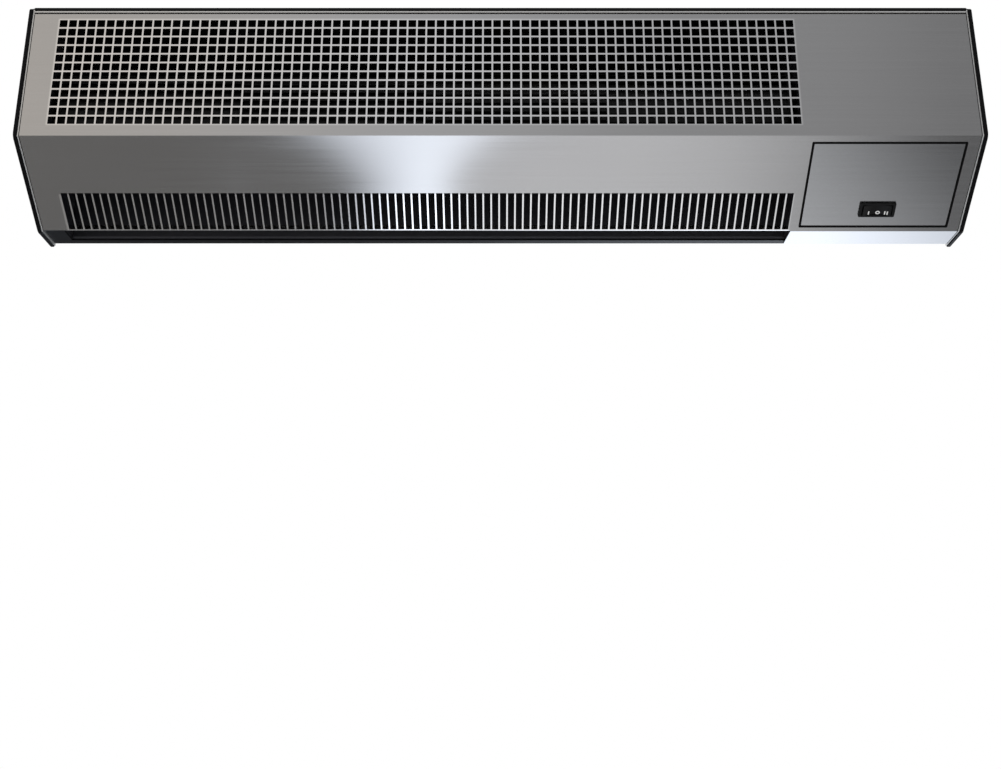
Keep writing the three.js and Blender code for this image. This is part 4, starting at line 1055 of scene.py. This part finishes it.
def across_rocker(x, height, y):
    """An outline in (X, height above the panel), with its width up the face."""
    return on_panel(x, y, height)


def rocker_paddle():
    """The rocker on its pin: a dished top, two ends and a keel."""
    crest, steps = ROCKER["crest"], ROCKER["top_steps"]
    top = [crest - 2 * crest * i / steps for i in range(steps + 1)]
    left = [Vector(corner) for corner in ROCKER_END]
    right = [Vector((-p.x, p.y)) for p in left[::-1]]
    outline = [*(Vector((x, rocker_top(x))) for x in top), *left, *right]
    half, rim_round = ROCKER["half_width"], ROCKER["rim"]
    paddle = make("rocker_paddle", slab(outline, -half, half, across_rocker, rim_round, rim_round, 4))
    half = SWITCH["height"] / 2 - FIT
    add(paddle, circle(0, -PIVOT["depth"], PIVOT["radius"], PIN_SIDES), -half, half, across_rocker)
    return fitted(smoothed(paddle), "rocker_body", "switch_black", "rocker")


def on_rocker(x, y, z):
    """A place on the rocker's dished top."""
    return on_panel(x, y, rocker_top(x) + z)


def bar_mark(x):
    half, reach = MARK["stroke"] / 2, MARK["height"] / 2
    outline = rectangle(x - half, MARK["y"] - reach, x + half, MARK["y"] + reach, MARK["corner"], 2)
    return slab(outline, -MARK["sunk"], MARK["proud"], on_rocker)


def ring_mark(x):
    half, reach = MARK["ring_half"], MARK["height"] / 2
    outer = [Vector((x + half * p.x, MARK["y"] + reach * p.y)) for p in circle(0, 0, 1, 32)]
    inner = shrunk(outer, MARK["stroke"])
    low, high = -MARK["sunk"], MARK["proud"]
    section = ((outer, low), (outer, high), (inner, high), (inner, low), (outer, low))
    return lofted([[on_rocker(p.x, p.y, height) for p in line] for line, height in section], capped=False)


def rocker_marks():
    """The I, O and II of the three positions."""
    solids = [bar_mark(MARKS_AT["I"]), ring_mark(MARKS_AT["O"]), *map(bar_mark, MARKS_AT["II"])]
    return fitted(make("rocker_marks", *solids), "rocker_body", "switch_black", "rocker", coat="white_ink")


# ---------- screws
SCREW_FACETS = 28
SCREW_HEAD = [
    (0.0, -0.05), (1.5, -0.08), (2.5, -0.3), (3.05, -0.75), (SCREW_HEAD_RADIUS, -1.25),
    (SCREW_HEAD_RADIUS, -1.4), (1.6, -1.4),
]
SCREW_POINT = {"shank": 1.5, "tip": 1.1, "taper": 0.4}
CROSS = {"length": 3.6, "width": 0.64, "depth": 0.95}
SCREW_BITE = 3.0


def screw_tool(length):
    """A pan-head screw with a cross recess: its head's top at 0, its shank towards -Z."""
    shank, tip, taper = (SCREW_POINT[size] for size in ("shank", "tip", "taper"))
    profile = [*SCREW_HEAD, (shank, taper - length), (tip, -length), (0.0, -length)]
    screw = make("screw", turned(profile, SCREW_FACETS, from_above))
    for long, wide in ((CROSS["length"], CROSS["width"]), (CROSS["width"], CROSS["length"])):
        cut(screw, centred(long, wide), -CROSS["depth"], OVERLAP, from_above)
    return screw


def screws_on_places():
    """Geometry nodes: one tool on each point of a mesh, turned so that it faces the point's own way."""
    inputs = {"Places": "Geometry", "Screw": "Object", "Finish": "Material"}
    shape = Shape("screws on places", inputs, "Screws")
    settings = {"data_type": "FLOAT_VECTOR"}
    facing = shape.add("GeometryNodeInputNamedAttribute", settings, {"Name": "facing"}, "Attribute")
    turn = shape.add("FunctionNodeAlignRotationToVector", {"axis": "Z"}, {"Vector": facing})
    shape.ends_in(shape.real(shape.on_points(shape.given["Places"], shape.tool("Screw"), turn)))
    return shape


def screws(name, length, places, nodes, shape):
    """All screws of one length as one piece; places are (point, facing) pairs in millimetres."""
    mesh = bpy.data.meshes.new(name)
    mesh.from_pydata([Vector(point) * MM for point, _ in places], [], [])
    facing = mesh.attributes.new("facing", "FLOAT_VECTOR", "POINT")
    for i, (_, direction) in enumerate(places):
        facing.data[i].vector = direction
    piece = in_scene(name, mesh)
    shape.applied(piece, {"Screw": screw_tool(length), "Finish": FINISHES["zinc_steel"]})
    return fitted(smoothed(piece), "housing", "zinc_steel", *nodes)


def all_screws():
    shape = screws_on_places()
    ends = [((side * HALF_WIDTH, p.x, p.y), (side, 0, 0)) for side in (1, -1) for p in END_SCREWS]
    names = [f"end_cap_screw_{side}_{i}" for side in ("right", "left") for i in (1, 2)]
    screws("end_screws", CAP_THICKNESS + INNER_SHEET + SCREW_BITE, ends, names, shape)
    low, high = (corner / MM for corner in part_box("cover_screw_1"))
    top = [((n * 2 * HALF_WIDTH / 3, (low.y + high.y) / 2, high.z), (0, 0, 1)) for n in (-1, 0, 1)]
    screws("cover_screws", high.z - low.z, top, [f"cover_screw_{i}" for i in (1, 2, 3)], shape)
    for name, nodes in (("bracket_screws", BACK_SCREWS[:4]), ("capacitor_fixing", BACK_SCREWS[4:])):
        low, high = (corner.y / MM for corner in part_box(nodes[0]))
        places = [((place.x, high, place.z), (0, 1, 0)) for place in map(middle_of, nodes)]
        screws(name, high - low, places, nodes, shape)


# ---------- all pieces
front_cover()
end_trim(-1, "left")
end_trim(1, "right")
rear_casing()
wall_plate()
inlet_grommet()
fan_wheel()
control_panel()
panel_seal()
switch_body()
rocker_paddle()
rocker_marks()
all_screws()

# The CAD pieces that stay get their finishes.
for row in frame["record"]["materials"]:
    for node in row.get("nodes", []):
        if node in frame["nodes"] and not frame["nodes"][node].hide_render:
            kept_mesh = frame["nodes"][node].data
            kept_mesh.materials.clear()
            kept_mesh.materials.append(FINISHES[row["slot"]])

# ---------- floor, sky and lamps, in metres
FLOOR_HEIGHT = -1.0
FLOOR_SIZE = 12.0
FLOOR_FADE = (0.6, 2.6)
FLOOR_WHITE = 0.45
SKY_HALF = 0.9
SKY_STRENGTH = 3.0
DULL_SKY = (0.55, 0.55, 0.56)
PLAIN, WARM, PEARL, COOL = (1.0, 1.0, 1.0), (1.045, 1.0, 0.95), (0.965, 0.99, 1.035), (0.91, 0.985, 1.11)


def studio_floor():
    """A pale floor with a soft shadow, which fades into the white behind it.

    Metal sees past it, and so does a camera below it.
    """
    mesh = bpy.data.meshes.new("floor")
    corners = [(*corner, FLOOR_HEIGHT) for corner in centred(FLOOR_SIZE, FLOOR_SIZE)]
    mesh.from_pydata(corners, [], [(0, 1, 2, 3)])
    floor = in_scene("floor", mesh)
    material = bpy.data.materials.new("pale floor")
    material.use_nodes = True
    r = Recipe(material.node_tree)
    across, away, _ = r.axes(r.place())
    start, end = FLOOR_FADE
    far = (((across * across + away * away).root() - start) / (end - start)).clamped()
    ray = r.outputs("ShaderNodeLightPath")
    matt = r.add("ShaderNodeBsdfDiffuse", {}, {"Color": (0.8, 0.8, 0.8, 1)})
    white = r.add("ShaderNodeEmission", {}, {"Color": (1, 1, 1, 1), "Strength": 1.0})
    seen = ray["Is Camera Ray"] * (FLOOR_WHITE + far * (1 - FLOOR_WHITE))
    pale = r.add("ShaderNodeMixShader", {}, {0: seen, 1: matt, 2: white})
    clear = r.add("ShaderNodeBsdfTransparent")
    unseen = ray["Is Glossy Ray"].larger(r.outputs("ShaderNodeNewGeometry")["Backfacing"])
    surface = r.add("ShaderNodeMixShader", {}, {0: unseen, 1: pale, 2: clear})
    r.add("ShaderNodeOutputMaterial", {}, {"Surface": surface})
    mesh.materials.append(material)


def lit(tint, *pairs):
    """Stops of one tint, from (position, brightness) pairs."""
    return [(position, tuple(level * part for part in tint)) for position, level in pairs]


def studio_sky():
    """White behind the unit for the camera; all else is lit by a soft studio with one bright box in front."""
    world = bpy.data.worlds.new("studio")
    bpy.context.scene.world = world
    world.use_nodes = True
    r = Recipe(world.node_tree)
    across, away, up = r.axes(r.add("ShaderNodeTexCoord", output="Generated"))
    position = (across + SKY_HALF) / (2 * SKY_HALF)

    def wall(*stops):
        return r.add("ShaderNodeValToRGB", {"stops": stops}, {0: position})

    below = wall(
        *lit(PLAIN, (0.20, 0.33), (0.31, 0.095), (0.425, 0.08)),
        *lit(COOL, (0.443, 0.50), (0.473, 0.85), (0.487, 0.85)),
        *lit(PEARL, (0.50, 0.32), (0.54, 0.39), (0.58, 0.35), (0.613, 0.24), (0.655, 0.07), (0.69, 0.07)),
        *lit(PLAIN, (0.78, 0.33)),
    )
    above = wall(
        *lit(WARM, (0.333, 0.29)),
        *lit(PEARL, (0.473, 0.28), (0.55, 0.20), (0.62, 0.18), (0.667, 0.12), (0.78, 0.30)),
    )
    behind = wall(
        *lit(COOL, (0.22, 0.30), (0.34, 0.03), (0.48, 0.05), (0.56, 0.70), (0.61, 0.78), (0.667, 0.42)),
        *lit(COOL, (0.75, 0.33)),
    )
    down = 0.0 - up
    studio = r.mixed(down.past(0.45, 0.5), above, below)
    studio = r.mixed(away.past(0.45, 0.4) * down.past(0.0, 0.2), studio, behind)
    bright = r.add("ShaderNodeVectorMath", {"operation": "SCALE"}, {0: studio, "Scale": SKY_STRENGTH})
    ray = r.outputs("ShaderNodeLightPath")
    colour = r.mixed(ray["Is Glossy Ray"], DULL_SKY, bright)
    seen = ray["Is Camera Ray"].larger(ray["Is Transmission Ray"])
    sockets = {"Color": r.mixed(seen, colour, (1, 1, 1)), "Strength": 1.0}
    r.add("ShaderNodeOutputWorld", {}, {"Surface": r.add("ShaderNodeBackground", {}, sockets)})
    world.cycles.sampling_method = "NONE"


def lamp(name, place, size, power):
    """A soft lamp aimed at the unit, which metal doesn't reflect."""
    data = bpy.data.lights.new(name, "AREA")
    data.shape = "RECTANGLE"
    data.size, data.size_y = size
    data.energy = power
    lamp_object = bpy.data.objects.new(name, data)
    lamp_object.location = place
    lamp_object.visible_glossy = False
    lamp_object.rotation_euler = (-Vector(place)).to_track_quat("-Z", "Y").to_euler()
    bpy.context.scene.collection.objects.link(lamp_object)


studio_floor()
studio_sky()
lamp("key", (-1.6, -1.6, 1.6), (1.6, 1.2), 26)
lamp("fill", (1.9, -1.2, 0.6), (1.4, 1.4), 12)
lamp("back", (0.5, 1.8, 1.4), (1.6, 1.0), 14)

bpy.context.view_layer.update()
